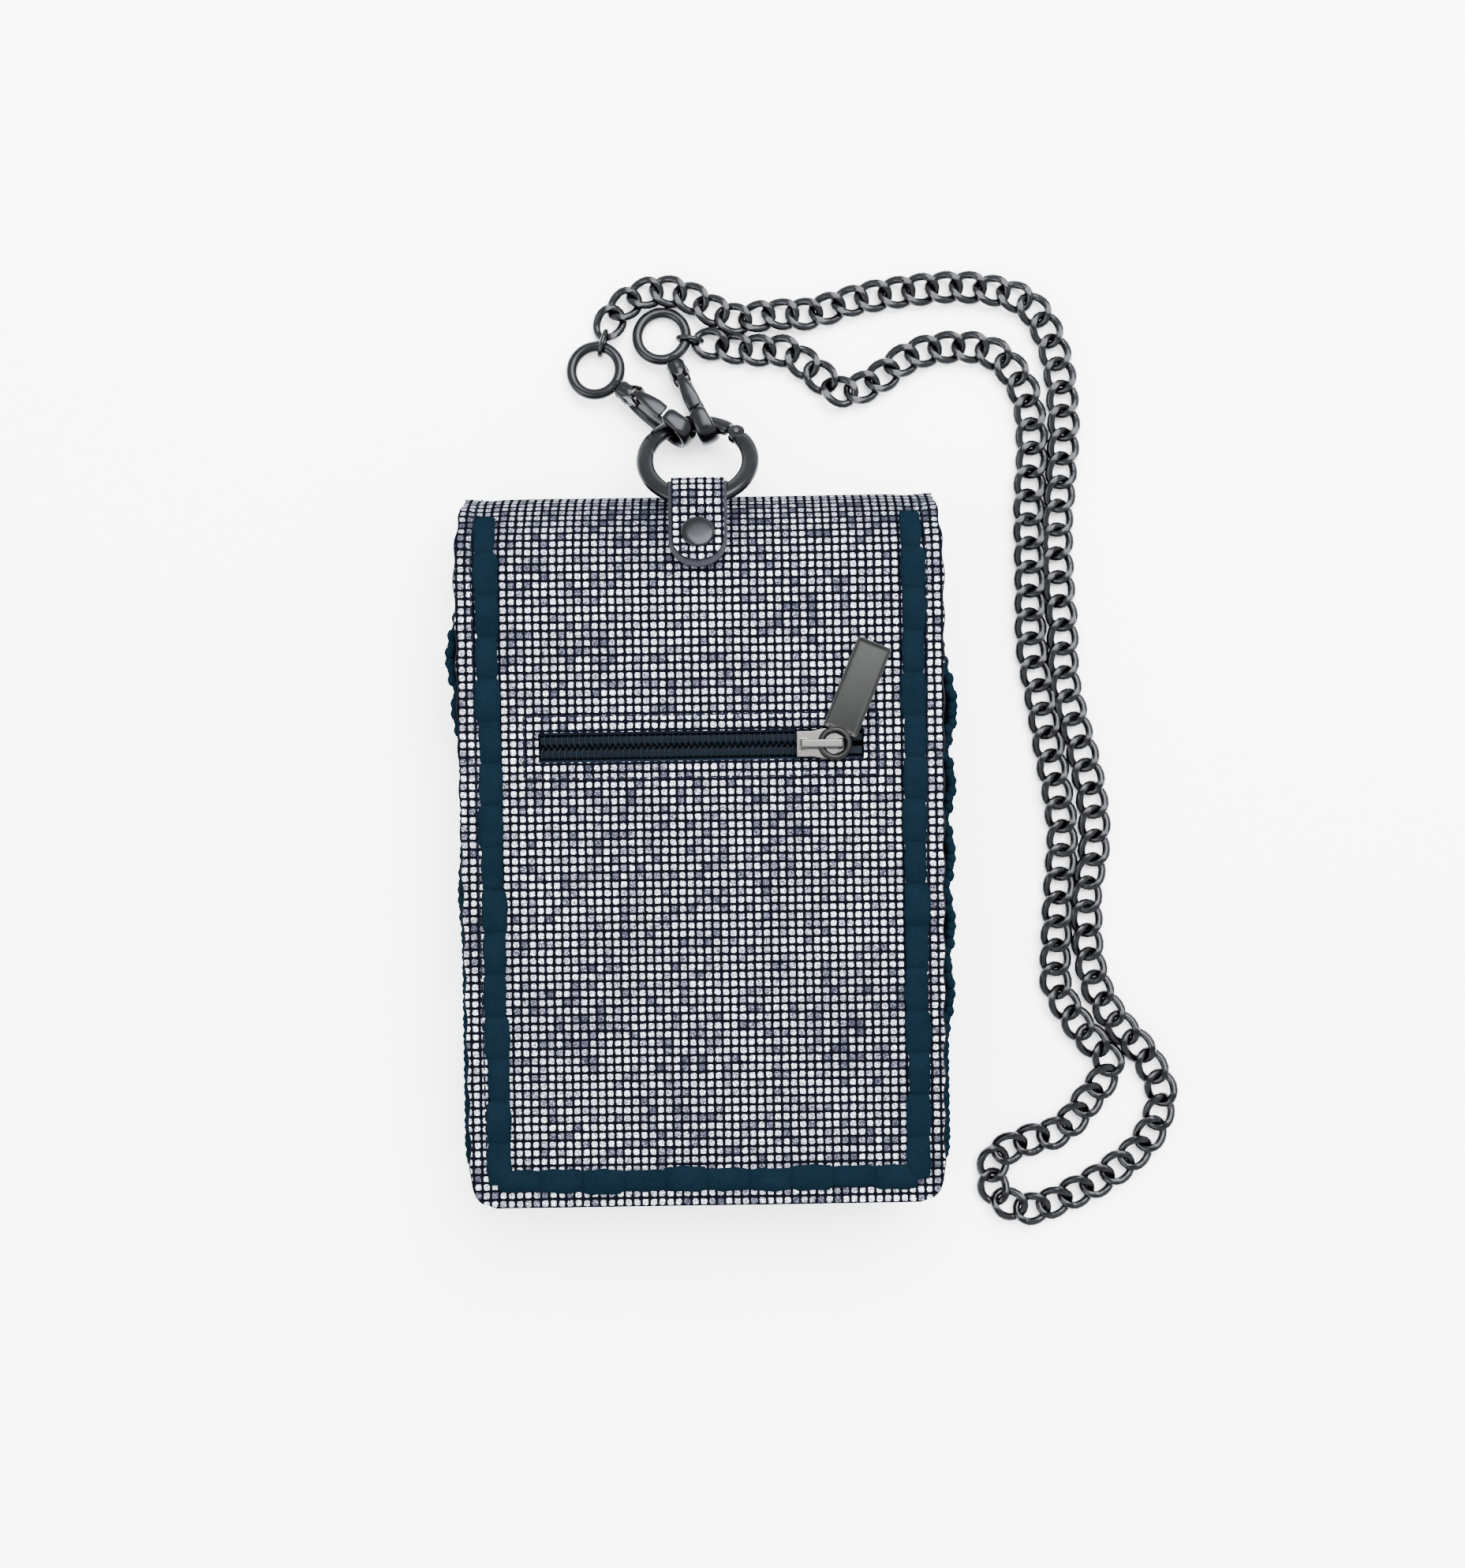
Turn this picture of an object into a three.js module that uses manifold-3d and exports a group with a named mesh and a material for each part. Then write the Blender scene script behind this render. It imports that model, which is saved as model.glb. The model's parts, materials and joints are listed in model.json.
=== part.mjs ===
// Crossbody phone pouch with a zip pocket, a spring-gate ring and a doubled chain strap.
// Millimetres. The pouch lies on its front flap: +Z leaves the back panel, +Y points to the top fold.
import * as THREE from 'three';
import { mergeVertices } from 'three/addons/utils/BufferGeometryUtils.js';
import Module from 'manifold-3d';

const wasm = await Module();
wasm.setup();

// Driving dimensions
const bagHeight = 25;
const bottomY = -104.7;
const noseY = 47.7;
const noseZ = 5;
const noseRadius = 20;
const topHalfWidth = 58.5;
const bottomHalfWidth = 56.5;
const cornerRadius = 6;
const leather = 0.9;
const gap = 0.3;

const liningDepth = 2.1;
const liningThickness = 0.8;
const liningTop = bagHeight - liningDepth;
const liningBottom = liningTop - liningThickness;
const liningInset = 1.2;

const underNoseRadius = noseZ;
const underNoseY = noseY + noseRadius - underNoseRadius;
const flapEndY = 2;
const flapHalfWidth = 57.4;
const flapCornerRadius = 14;
const flapLiningDepth = 1.2;

const frontBottom = 2.3;
const frontTop = 5.7;
const frontFoot = 0;
const frontTopY = 56;
const frontHalfWidth = 55;
const gussetHalfWidth = 60.5;
const gussetWall = 5;
const gussetTopY = 50;
const gussetBottomY = bottomY - 0.6;
const gussetCornerRadius = 12;
const snapY = 16;
const snapRadius = 7;
const snapSocketBore = 2.6;
const snapStudRadius = 2.2;

const lacingInset = 6.4;
const lacingHalfWidth = 2.9;
const lacingHeight = 1.2;
const lacingTopAngle = 42;
const lacingBottomY = bottomY + 6.3;

const zipY = 5.3;
const windowHalfLength = 39;
const windowHalfHeight = 3.6;
const tapeTop = 23.8;
const tapeThickness = 0.6;
const tapeHalfLength = 43;
const tapeInner = 3.1;
const tapeOuter = 12;
const coilInner = 0.4;
const coilOuter = 2.8;
const coilBottom = 22.9;
const coilTop = 25.1;
const coilRightX = 31.2;

const pocketHalfWidth = 44;
const pocketBottomY = -58;
const pocketTopY = 16;
const pocketBottom = 15.5;
const pocketTop = 21.8;
const pocketWall = 0.8;
const pocketSlotHalfHeight = 3.9;
const pocketSlotHalfLength = 40;

const sliderLeftX = 22.8;
const sliderRightX = 34.2;
const sliderPlateBottom = 25.4;
const sliderPlateTop = 26.4;
const sliderUnderTop = 22.6;
const sliderUnderBottom = 21.2;
const sliderRearHalf = 3.1;
const sliderFrontHalf = 3.8;
const sliderPostStartX = 31.5;
const sliderPostEndX = 33.2;
const sliderPostHalf = 0.9;
const bridgeHalfWidth = 1;
const bridgeStartX = 23.8;
const bridgeEndX = 33.6;
const bridgeLeg = 1.2;
const bridgeFoot = 26;
const bridgeTop = 29.2;
const bridgeThickness = 0.8;
const loopX = 31.9;
const loopInner = 2.7;
const loopOuter = 3.9;
const pullBottom = 26.8;
const pullThickness = 1.3;
const pullStart = 2.9;
const pullEnd = 25.8;
const pullHalfWidth = 4.3;
const pullLean = THREE.MathUtils.degToRad(-22.6);

const strapHalfWidth = 6.4;
const strapLiningHalfWidth = 6.7;
const strapLeather = 0.6;
const strapGap = 0.25;
const strapLowerRadius = 21.75;
const strapFoldHalf = 2.25;
const strapFoldAngle = 52.5;
const strapRiseAngle = 29;
const strapEndAngle = 4.5;
const liningEndAngle = 0.5;
const rivetAngle = 21;
const rivetCapRadius = 4;
const rivetCapHeight = 1.25;
const rivetShankRadius = 1.2;
const rivetHoleRadius = 1.6;
const rivetFlangeRadius = 3.4;
const rivetFlange = 0.9;
const rivetSeat = 0.4;

const ringAxisY = 65;
const ringAxisZ = 21.1;
const ringTilt = THREE.MathUtils.degToRad(35);
const ringRadius = 12.95;
const ringHalfWidth = 2.15;
const ringHalfThickness = 1.35;
const gatePinAngle = 42;
const gateTipAngle = 154;
const gateTipGap = 0.35;
const gateTipReach = 2 * ringRadius * Math.sin(THREE.MathUtils.degToRad(gateTipAngle - gatePinAngle) / 2);
const gateTongue = 1.2;
const gateTongueRadius = 1.7;
const cheekRadius = 2.1;
const cheekClearance = 2.5;
const tongueSlotRadius = 2.9;
const pinRadius = 0.55;
const pinBore = 0.85;

const clasps = [
  { side: 'left', ringAngle: 117, heading: 142, lean: 15 },
  { side: 'right', ringAngle: 84, heading: 114, lean: -5 },
];
const claspSlope = 0.15;
const hookHalf = 1.8;
const leverSlotHalf = 1.2;
const leverHalf = 0.9;
const leverPinU = 11.2;
const leverPinV = 3.3;
const swivelRadius = 6.15;
const swivelWire = 1.35;
const swivelCentre = 25;
const swivelStemRadius = 0.85;
const swivelHeadRadius = 1.6;

const chainHalfWidth = 3;
const chainHalfHeight = 1.8;
const chainZ = 2.1;

// Moves the finished part so that its middle lies over the origin.
const centreShiftY = -5.4;

// Helpers
function toSolid(geometry) {
  const bare = geometry.clone();
  bare.deleteAttribute('normal');
  bare.deleteAttribute('uv');
  const merged = mergeVertices(bare, 1e-4);
  const mesh = new wasm.Mesh({
    numProp: 3,
    vertProperties: merged.attributes.position.array,
    triVerts: new Uint32Array(merged.index.array),
  });
  return new wasm.Manifold(mesh);
}

function toGeometry(solid) {
  const mesh = solid.getMesh();
  const geometry = new THREE.BufferGeometry();
  geometry.setAttribute('position', new THREE.BufferAttribute(mesh.vertProperties, 3));
  geometry.setIndex(new THREE.BufferAttribute(mesh.triVerts, 1));
  geometry.computeVertexNormals();
  return geometry;
}

function cut(geometry, ...tools) {
  let solid = toSolid(geometry);
  for (const tool of tools) {
    solid = solid.subtract(toSolid(tool));
  }
  return toGeometry(solid);
}

function join(geometry, ...others) {
  let solid = toSolid(geometry);
  for (const other of others) {
    solid = solid.add(toSolid(other));
  }
  return toGeometry(solid);
}

function overlap(geometry, other) {
  return toGeometry(toSolid(geometry).intersect(toSolid(other)));
}

function box(x0, x1, y0, y1, z0, z1) {
  const geometry = new THREE.BoxGeometry(x1 - x0, y1 - y0, z1 - z0);
  geometry.translate((x0 + x1) / 2, (y0 + y1) / 2, (z0 + z1) / 2);
  return geometry;
}

function extrudeUp(shape, z0, z1, curveSegments = 8) {
  const geometry = new THREE.ExtrudeGeometry(shape, { depth: z1 - z0, bevelEnabled: false, curveSegments });
  geometry.translate(0, 0, z0);
  return geometry;
}

// A closed YZ outline, given as [y, z] points, extruded along X.
function extrudeAcross(points, x0, x1) {
  const shape = new THREE.Shape(points.map(([y, z]) => new THREE.Vector2(y, z)));
  const geometry = new THREE.ExtrudeGeometry(shape, { depth: x1 - x0, bevelEnabled: false });
  const turn = new THREE.Matrix4().makeBasis(
    new THREE.Vector3(0, 1, 0),
    new THREE.Vector3(0, 0, 1),
    new THREE.Vector3(1, 0, 0),
  );
  geometry.applyMatrix4(turn);
  geometry.translate(x0, 0, 0);
  return geometry;
}

function cylinder(radius, z0, z1, segments = 16) {
  const geometry = new THREE.CylinderGeometry(radius, radius, z1 - z0, segments);
  geometry.rotateX(Math.PI / 2);
  geometry.translate(0, 0, (z0 + z1) / 2);
  return geometry;
}

function material(color, roughness, metalness) {
  return new THREE.MeshStandardMaterial({ color, roughness, metalness });
}

const group = new THREE.Group();

function place(name, geometry, color, roughness, metalness, parent = group) {
  const mesh = new THREE.Mesh(geometry, material(color, roughness, metalness));
  mesh.name = name;
  parent.add(mesh);
  return mesh;
}

// Colours
const glitter = 0xb9bec6;
const blackLeather = 0x1d2226;
const yarn = 0x192d3c;
const zipBlack = 0x152431;
const nickel = 0xa9a8a4;
const gunmetal = 0x55575b;

// Points round the top fold, on a radius about the fold's centre. 0 degrees points up, 90 to the fold's edge.
function onNose(radius, degrees) {
  const angle = THREE.MathUtils.degToRad(degrees);
  return [noseY + radius * Math.sin(angle), noseZ + radius * Math.cos(angle)];
}

function noseArc(radius, from, to, steps = 10) {
  const points = [];
  for (let i = 0; i <= steps; i += 1) {
    points.push(onNose(radius, from + ((to - from) * i) / steps));
  }
  return points;
}

// Points round the small fold at the front, from 90 degrees at the edge to 180 degrees under it.
function underArc(radius, from, to, steps = 8) {
  const points = [];
  for (let i = 0; i <= steps; i += 1) {
    const angle = THREE.MathUtils.degToRad(from + ((to - from) * i) / steps);
    points.push([underNoseY + radius * Math.sin(angle), noseZ + radius * Math.cos(angle)]);
  }
  return points;
}

// Plan outline of the back: a little narrower at the bottom, with rounded bottom corners.
function backOutline(inset) {
  const top = noseY + noseRadius + 2;
  const wide = topHalfWidth - inset;
  const narrow = bottomHalfWidth - inset;
  const low = bottomY + inset;
  const shape = new THREE.Shape();
  shape.moveTo(wide, top);
  shape.lineTo(-wide, top);
  shape.lineTo(-narrow, low + cornerRadius);
  shape.quadraticCurveTo(-narrow, low, -narrow + cornerRadius, low);
  shape.lineTo(narrow - cornerRadius, low);
  shape.quadraticCurveTo(narrow, low, narrow, low + cornerRadius);
  shape.closePath();
  return shape;
}

// Sheet that lies flat and then follows the top fold down to its edge.
function foldedSheet(depth, thickness, inset, endAngle) {
  const low = bottomY + inset;
  const outline = [
    [low, bagHeight - depth],
    ...noseArc(noseRadius - depth, 0, endAngle),
    ...noseArc(noseRadius - depth - thickness, endAngle, 0),
    [low, bagHeight - depth - thickness],
  ];
  const sheet = extrudeAcross(outline, -topHalfWidth - 1, topHalfWidth + 1);
  return overlap(sheet, extrudeUp(backOutline(inset), -1, bagHeight + 1));
}

function rivetHole() {
  const hole = cylinder(rivetHoleRadius, noseRadius - 6, noseRadius + 5);
  hole.rotateX(-THREE.MathUtils.degToRad(rivetAngle));
  hole.translate(0, noseY, noseZ);
  return hole;
}

function zipWindow(halfLength, halfHeight) {
  return box(-halfLength, halfLength, zipY - halfHeight, zipY + halfHeight, 0, bagHeight + 5);
}

function makeBack() {
  const panel = foldedSheet(0, leather, 0, 89);
  const window = zipWindow(windowHalfLength, windowHalfHeight);
  place('back_panel', cut(panel, window, rivetHole()), glitter, 0.4, 0.5);
  const lining = foldedSheet(liningDepth, liningThickness, liningInset, 87);
  const slot = zipWindow(pocketSlotHalfLength, pocketSlotHalfHeight);
  place('back_lining', cut(lining, slot, rivetHole()), blackLeather, 0.8, 0);
}

function flapOutline(inset) {
  const half = flapHalfWidth - inset;
  const low = flapEndY + inset;
  const top = noseY + noseRadius + 2;
  const shape = new THREE.Shape();
  shape.moveTo(half, top);
  shape.lineTo(-half, top);
  shape.lineTo(-half, low + flapCornerRadius);
  shape.quadraticCurveTo(-half, low, -half + flapCornerRadius, low);
  shape.lineTo(half - flapCornerRadius, low);
  shape.quadraticCurveTo(half, low, half, low + flapCornerRadius);
  shape.closePath();
  return shape;
}

function flapSheet(depth, thickness, inset, startAngle) {
  const outline = [
    ...underArc(underNoseRadius - depth, startAngle, 180),
    [flapEndY + inset, depth],
    [flapEndY + inset, depth + thickness],
    ...underArc(underNoseRadius - depth - thickness, 180, startAngle),
  ];
  const sheet = extrudeAcross(outline, -topHalfWidth, topHalfWidth);
  return overlap(sheet, extrudeUp(flapOutline(inset), -1, noseZ + 1));
}

function makeFlap() {
  place('flap_leather', flapSheet(0, leather, 0, 95), glitter, 0.4, 0.5);
  place('flap_lining', flapSheet(flapLiningDepth, liningThickness, 0.8, 99), blackLeather, 0.8, 0);
}

// The crochet front is thicker past the flap's end, so that the pouch lies level.
function makeCrochet() {
  const low = bottomY + 0.7;
  const step = flapEndY - 3;
  const outline = [
    [low, frontFoot],
    [step - 3, frontFoot],
    [step, frontBottom],
    [frontTopY, frontBottom],
    [frontTopY, frontTop],
    [low, frontTop],
  ];
  const slab = extrudeAcross(outline, -frontHalfWidth, frontHalfWidth);
  const front = overlap(slab, extrudeUp(backOutline(0.7), -1, bagHeight));
  const snapHole = cylinder(snapRadius + gap, 0, 10, 24);
  snapHole.translate(0, snapY, 0);
  place('crochet_front', cut(front, snapHole), yarn, 0.95, 0);

  const rim = new THREE.Shape();
  const outerPath = (path, half, bottom, r) => {
    path.moveTo(half, gussetTopY);
    path.lineTo(-half, gussetTopY);
    path.lineTo(-half, bottom + r);
    path.quadraticCurveTo(-half, bottom, -half + r, bottom);
    path.lineTo(half - r, bottom);
    path.quadraticCurveTo(half, bottom, half, bottom + r);
    path.closePath();
  };
  outerPath(rim, gussetHalfWidth, gussetBottomY, gussetCornerRadius);
  const inner = new THREE.Shape();
  const innerHalf = gussetHalfWidth - gussetWall;
  outerPath(inner, innerHalf, gussetBottomY + gussetWall, gussetCornerRadius - gussetWall);
  const innerTool = extrudeUp(inner, 0, bagHeight);
  const mouth = box(-innerHalf, innerHalf, 0, gussetTopY + 1, 0, bagHeight);
  const band = extrudeUp(rim, frontTop + gap, liningBottom - gap);
  place('crochet_gusset', cut(band, innerTool, mouth), yarn, 0.95, 0);
}

function makeSnap() {
  const socket = cut(cylinder(snapRadius, 3.5, 5.5, 24), cylinder(snapSocketBore, 3, 5, 16));
  socket.translate(0, snapY, 0);
  place('snap_socket', socket, nickel, 0.35, 1);
  const plate = cylinder(snapRadius + 1, frontTop + gap, frontTop + gap + 0.6, 24);
  plate.translate(0, snapY, 0);
  place('snap_backplate', plate, nickel, 0.45, 1);
  const stud = join(cylinder(snapRadius, 2.3, 3.1, 24), cylinder(snapStudRadius, 3, 4.6, 16));
  stud.translate(0, snapY, 0);
  place('snap_stud', stud, nickel, 0.35, 1);
}

// One run of lacing along a side edge, over the flat back and down the top fold.
function sideLacing(side) {
  const low = bagHeight + gap;
  const high = low + lacingHeight;
  const outline = [
    [lacingBottomY + lacingHalfWidth + gap, low],
    ...noseArc(noseRadius + gap, 0, lacingTopAngle),
    ...noseArc(noseRadius + gap + lacingHeight, lacingTopAngle, 0),
    [lacingBottomY + lacingHalfWidth + gap, high],
  ];
  const bar = extrudeAcross(outline, -lacingHalfWidth, lacingHalfWidth);
  const centre = (topHalfWidth + bottomHalfWidth) / 2 - lacingInset;
  bar.translate(side * centre, 0, 0);
  return bar;
}

function makeLacing() {
  place('lacing_left', sideLacing(-1), yarn, 0.9, 0);
  place('lacing_right', sideLacing(1), yarn, 0.9, 0);
  const half = (topHalfWidth + bottomHalfWidth) / 2 - lacingInset + lacingHalfWidth;
  const y0 = lacingBottomY - lacingHalfWidth;
  const y1 = lacingBottomY + lacingHalfWidth;
  const bar = box(-half, half, y0, y1, bagHeight + gap, bagHeight + gap + lacingHeight);
  place('lacing_bottom', bar, yarn, 0.9, 0);
}

function makeZip() {
  for (const [name, side] of [['upper', 1], ['lower', -1]]) {
    const a = zipY + side * tapeInner;
    const b = zipY + side * tapeOuter;
    const tape = box(
      -tapeHalfLength,
      tapeHalfLength,
      Math.min(a, b),
      Math.max(a, b),
      tapeTop - tapeThickness,
      tapeTop,
    );
    place(`zip_tape_${name}`, tape, zipBlack, 0.85, 0);
    const c = zipY + side * coilInner;
    const d = zipY + side * coilOuter;
    const coil = box(-windowHalfLength + 0.4, coilRightX, Math.min(c, d), Math.max(c, d), coilBottom, coilTop);
    place(`zip_coil_${name}`, coil, zipBlack, 0.45, 0);
  }
}

function makePocket() {
  const w = pocketWall;
  const bag = box(-pocketHalfWidth, pocketHalfWidth, pocketBottomY, pocketTopY, pocketBottom, pocketTop);
  const hollow = box(
    -pocketHalfWidth + w,
    pocketHalfWidth - w,
    pocketBottomY + w,
    pocketTopY - w,
    pocketBottom + w,
    pocketTop - w,
  );
  const slot = zipWindow(pocketSlotHalfLength, pocketSlotHalfHeight);
  slot.translate(0, 0, pocketBottom + w + 1);
  place('pocket_bag', cut(bag, hollow, slot), blackLeather, 0.85, 0);
}

// Plan outline of a slider plate: straight at the rear, with wide shoulders near the front.
function sliderOutline(scale) {
  const length = sliderRightX - sliderLeftX;
  const shoulder = sliderLeftX + length * 0.62;
  const rear = sliderRearHalf * scale;
  const wide = sliderFrontHalf * scale;
  const shape = new THREE.Shape();
  shape.moveTo(sliderLeftX, -rear);
  shape.lineTo(sliderLeftX + length * 0.32, -rear);
  shape.lineTo(shoulder, -wide);
  shape.lineTo(sliderRightX, -rear * 0.55);
  shape.lineTo(sliderRightX, rear * 0.55);
  shape.lineTo(shoulder, wide);
  shape.lineTo(sliderLeftX + length * 0.32, rear);
  shape.lineTo(sliderLeftX, rear);
  shape.closePath();
  return shape;
}

function makeSlider() {
  const top = extrudeUp(sliderOutline(1), sliderPlateBottom, sliderPlateTop);
  const under = extrudeUp(sliderOutline(0.88), sliderUnderBottom, sliderUnderTop);
  const post = box(
    sliderPostStartX,
    sliderPostEndX,
    -sliderPostHalf,
    sliderPostHalf,
    sliderUnderTop - 0.4,
    sliderPlateBottom + 0.4,
  );
  const half = bridgeHalfWidth;
  const deck = box(bridgeStartX, bridgeEndX, -half, half, bridgeTop - bridgeThickness, bridgeTop);
  const legTop = bridgeTop - 0.2;
  const rearLeg = box(bridgeStartX, bridgeStartX + bridgeLeg, -half, half, bridgeFoot, legTop);
  const frontLeg = box(bridgeEndX - bridgeLeg, bridgeEndX, -half, half, bridgeFoot, legTop);
  const slider = join(top, under, post, deck, rearLeg, frontLeg);
  slider.translate(0, zipY, 0);
  place('zip_slider', slider, nickel, 0.3, 1);
}

function makePull() {
  const plate = new THREE.Shape();
  const half = pullHalfWidth;
  const r = 0.9;
  plate.moveTo(-half, pullStart);
  plate.lineTo(half, pullStart);
  plate.lineTo(half, pullEnd - r);
  plate.lineTo(half - r, pullEnd);
  plate.lineTo(-half + r, pullEnd);
  plate.lineTo(-half, pullEnd - r);
  plate.closePath();
  const z1 = pullBottom + pullThickness;
  const loop = cylinder(loopOuter, pullBottom, z1, 24);
  const hole = cylinder(loopInner, pullBottom - 1, z1 + 1, 24);
  const pull = cut(join(extrudeUp(plate, pullBottom, z1), loop), hole);
  pull.rotateZ(pullLean);
  pull.translate(loopX, zipY, 0);
  place('zip_pull', pull, gunmetal, 0.4, 1);
}

// A strip that follows the top fold, goes round the ring's wire and comes back. grow is its inner offset.
function strapOutline(grow, thickness, endAngle) {
  const mid = strapLowerRadius + strapFoldHalf;
  const [foldY, foldZ] = onNose(mid, strapFoldAngle);
  const foldArc = (radius, forward) => {
    const points = [];
    for (let i = 0; i <= 8; i += 1) {
      const t = forward ? i / 8 : 1 - i / 8;
      const angle = THREE.MathUtils.degToRad(strapFoldAngle) + Math.PI * t;
      points.push([foldY + radius * Math.sin(angle), foldZ + radius * Math.cos(angle)]);
    }
    return points;
  };
  const legOffset = grow + thickness / 2;
  const upperRest = strapLowerRadius + strapGap;
  const upperArc = (offset) => [
    onNose(mid + strapFoldHalf + offset, strapFoldAngle - 3),
    onNose(mid + strapFoldHalf + offset - 0.4, strapFoldAngle - 8),
    onNose(mid + strapFoldHalf + offset - 1.6, strapFoldAngle - 15),
    ...noseArc(upperRest + offset, strapRiseAngle, endAngle, 5),
  ];
  const lowerArc = (offset) => noseArc(strapLowerRadius - offset, endAngle, strapFoldAngle - 3, 8);
  const outer = legOffset + thickness / 2;
  const inner = legOffset - thickness / 2;
  return [
    ...lowerArc(outer),
    ...foldArc(strapFoldHalf + outer, false),
    ...upperArc(outer),
    ...upperArc(inner).reverse(),
    ...foldArc(strapFoldHalf + inner, true),
    ...lowerArc(inner).reverse(),
  ];
}

function strapEnd(half, endAngle) {
  const [lowY] = onNose(strapLowerRadius, endAngle);
  const shape = new THREE.Shape();
  shape.moveTo(half, 90);
  shape.lineTo(-half, 90);
  shape.lineTo(-half, lowY + half);
  shape.absarc(0, lowY + half, half, Math.PI, 2 * Math.PI, false);
  shape.closePath();
  return extrudeUp(shape, 0, 60);
}

function makeTab() {
  const liningStrip = extrudeAcross(
    strapOutline(0, strapLeather, liningEndAngle),
    -strapLiningHalfWidth,
    strapLiningHalfWidth,
  );
  const liningTab = cut(overlap(liningStrip, strapEnd(strapLiningHalfWidth, liningEndAngle)), rivetHole());
  place('tab_lining', liningTab, blackLeather, 0.75, 0);
  const outerOffset = strapLeather + strapGap;
  const stripOutline = strapOutline(outerOffset, strapLeather, strapEndAngle);
  const strip = extrudeAcross(stripOutline, -strapHalfWidth, strapHalfWidth);
  const strap = overlap(strip, strapEnd(strapHalfWidth, strapEndAngle));
  place('tab_strap', cut(strap, rivetHole()), glitter, 0.4, 0.5);

  const capBase = strapLowerRadius + strapGap + outerOffset + strapLeather + gap;
  const capProfile = [new THREE.Vector2(0, capBase)];
  const capSteps = 6;
  for (let i = 0; i < capSteps; i += 1) {
    const angle = (Math.PI / 2) * (i / capSteps);
    const height = capBase + rivetCapHeight * Math.sin(angle);
    capProfile.push(new THREE.Vector2(rivetCapRadius * Math.cos(angle), height));
  }
  capProfile.push(new THREE.Vector2(0, capBase + rivetCapHeight));
  const tilt = THREE.MathUtils.degToRad(90 - rivetAngle);
  const cap = new THREE.LatheGeometry(capProfile, 24);
  cap.rotateX(tilt);
  cap.translate(0, noseY, noseZ);
  place('rivet_cap', cap, gunmetal, 0.35, 1);

  const inner = noseRadius - liningDepth - liningThickness - gap - rivetSeat;
  const shank = [
    [0, inner - rivetFlange],
    [rivetFlangeRadius, inner - rivetFlange],
    [rivetFlangeRadius, inner],
    [rivetShankRadius, inner],
    [rivetShankRadius, capBase - gap],
    [0, capBase - gap],
  ];
  const post = new THREE.LatheGeometry(shank.map(([x, y]) => new THREE.Vector2(x, y)), 16);
  post.rotateX(tilt);
  post.translate(0, noseY, noseZ);
  place('rivet_post', post, nickel, 0.4, 1);
}

// The ring's own frame: its centre, with the wire in the XY plane.
const ringCentreY = ringAxisY + ringRadius * Math.cos(ringTilt);
const ringCentreZ = ringAxisZ - ringRadius * Math.sin(ringTilt);

function onRing(degrees) {
  const angle = THREE.MathUtils.degToRad(degrees);
  return new THREE.Vector3(ringRadius * Math.cos(angle), ringRadius * Math.sin(angle), 0);
}

function ringToRow(point) {
  return point.clone().applyAxisAngle(new THREE.Vector3(1, 0, 0), -ringTilt).add(
    new THREE.Vector3(0, ringCentreY, ringCentreZ),
  );
}

function wholeRing() {
  const profile = [];
  const steps = 12;
  for (let i = 0; i <= steps; i += 1) {
    const angle = (2 * Math.PI * i) / steps;
    profile.push(
      new THREE.Vector2(
        ringRadius + ringHalfWidth * Math.cos(angle),
        ringHalfThickness * Math.sin(angle),
      ),
    );
  }
  profile[steps].copy(profile[0]);
  const ring = new THREE.LatheGeometry(profile, 60);
  ring.rotateX(Math.PI / 2);
  return ring;
}

function wedge(fromDegrees, toDegrees) {
  const shape = new THREE.Shape();
  shape.moveTo(0, 0);
  const steps = 12;
  for (let i = 0; i <= steps; i += 1) {
    const angle = THREE.MathUtils.degToRad(fromDegrees + ((toDegrees - fromDegrees) * i) / steps);
    shape.lineTo(30 * Math.cos(angle), 30 * Math.sin(angle));
  }
  shape.closePath();
  return extrudeUp(shape, -10, 10);
}

function makeRing() {
  const frame = new THREE.Group();
  frame.position.set(0, ringCentreY, ringCentreZ);
  frame.rotation.x = -ringTilt;
  group.add(frame);

  const pin = onRing(gatePinAngle);
  const atPin = (radius, half, segments = 20) => {
    const disc = cylinder(radius, -half, half, segments);
    disc.translate(pin.x, pin.y, 0);
    return disc;
  };
  const slotHalf = gateTongue / 2 + gap;
  const thick = ringHalfThickness;
  const swing = wedge(gatePinAngle, 180);
  const gateBlank = overlap(wholeRing(), overlap(swing, atPin(gateTipReach, 5, 64)));
  const cheeksAway = cut(atPin(cheekClearance, 3), atPin(cheekClearance + 0.1, gateTongue / 2));
  const tongue = atPin(gateTongueRadius, gateTongue / 2);
  const gate = cut(join(cut(gateBlank, cheeksAway), tongue), atPin(pinBore, 3, 12));
  place('ring_gate', gate, gunmetal, 0.35, 1, frame);

  const bodyBlank = cut(wholeRing(), overlap(swing, atPin(gateTipReach + gateTipGap, 5, 64)));
  const cheeks = atPin(cheekRadius, thick);
  const slot = atPin(tongueSlotRadius, slotHalf);
  const body = cut(join(bodyBlank, cheeks), slot, atPin(pinBore, 3, 12));
  place('ring_body', body, gunmetal, 0.35, 1, frame);
  place('gate_pin', atPin(pinRadius, thick + 0.1, 12), nickel, 0.35, 1, frame);
}

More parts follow.
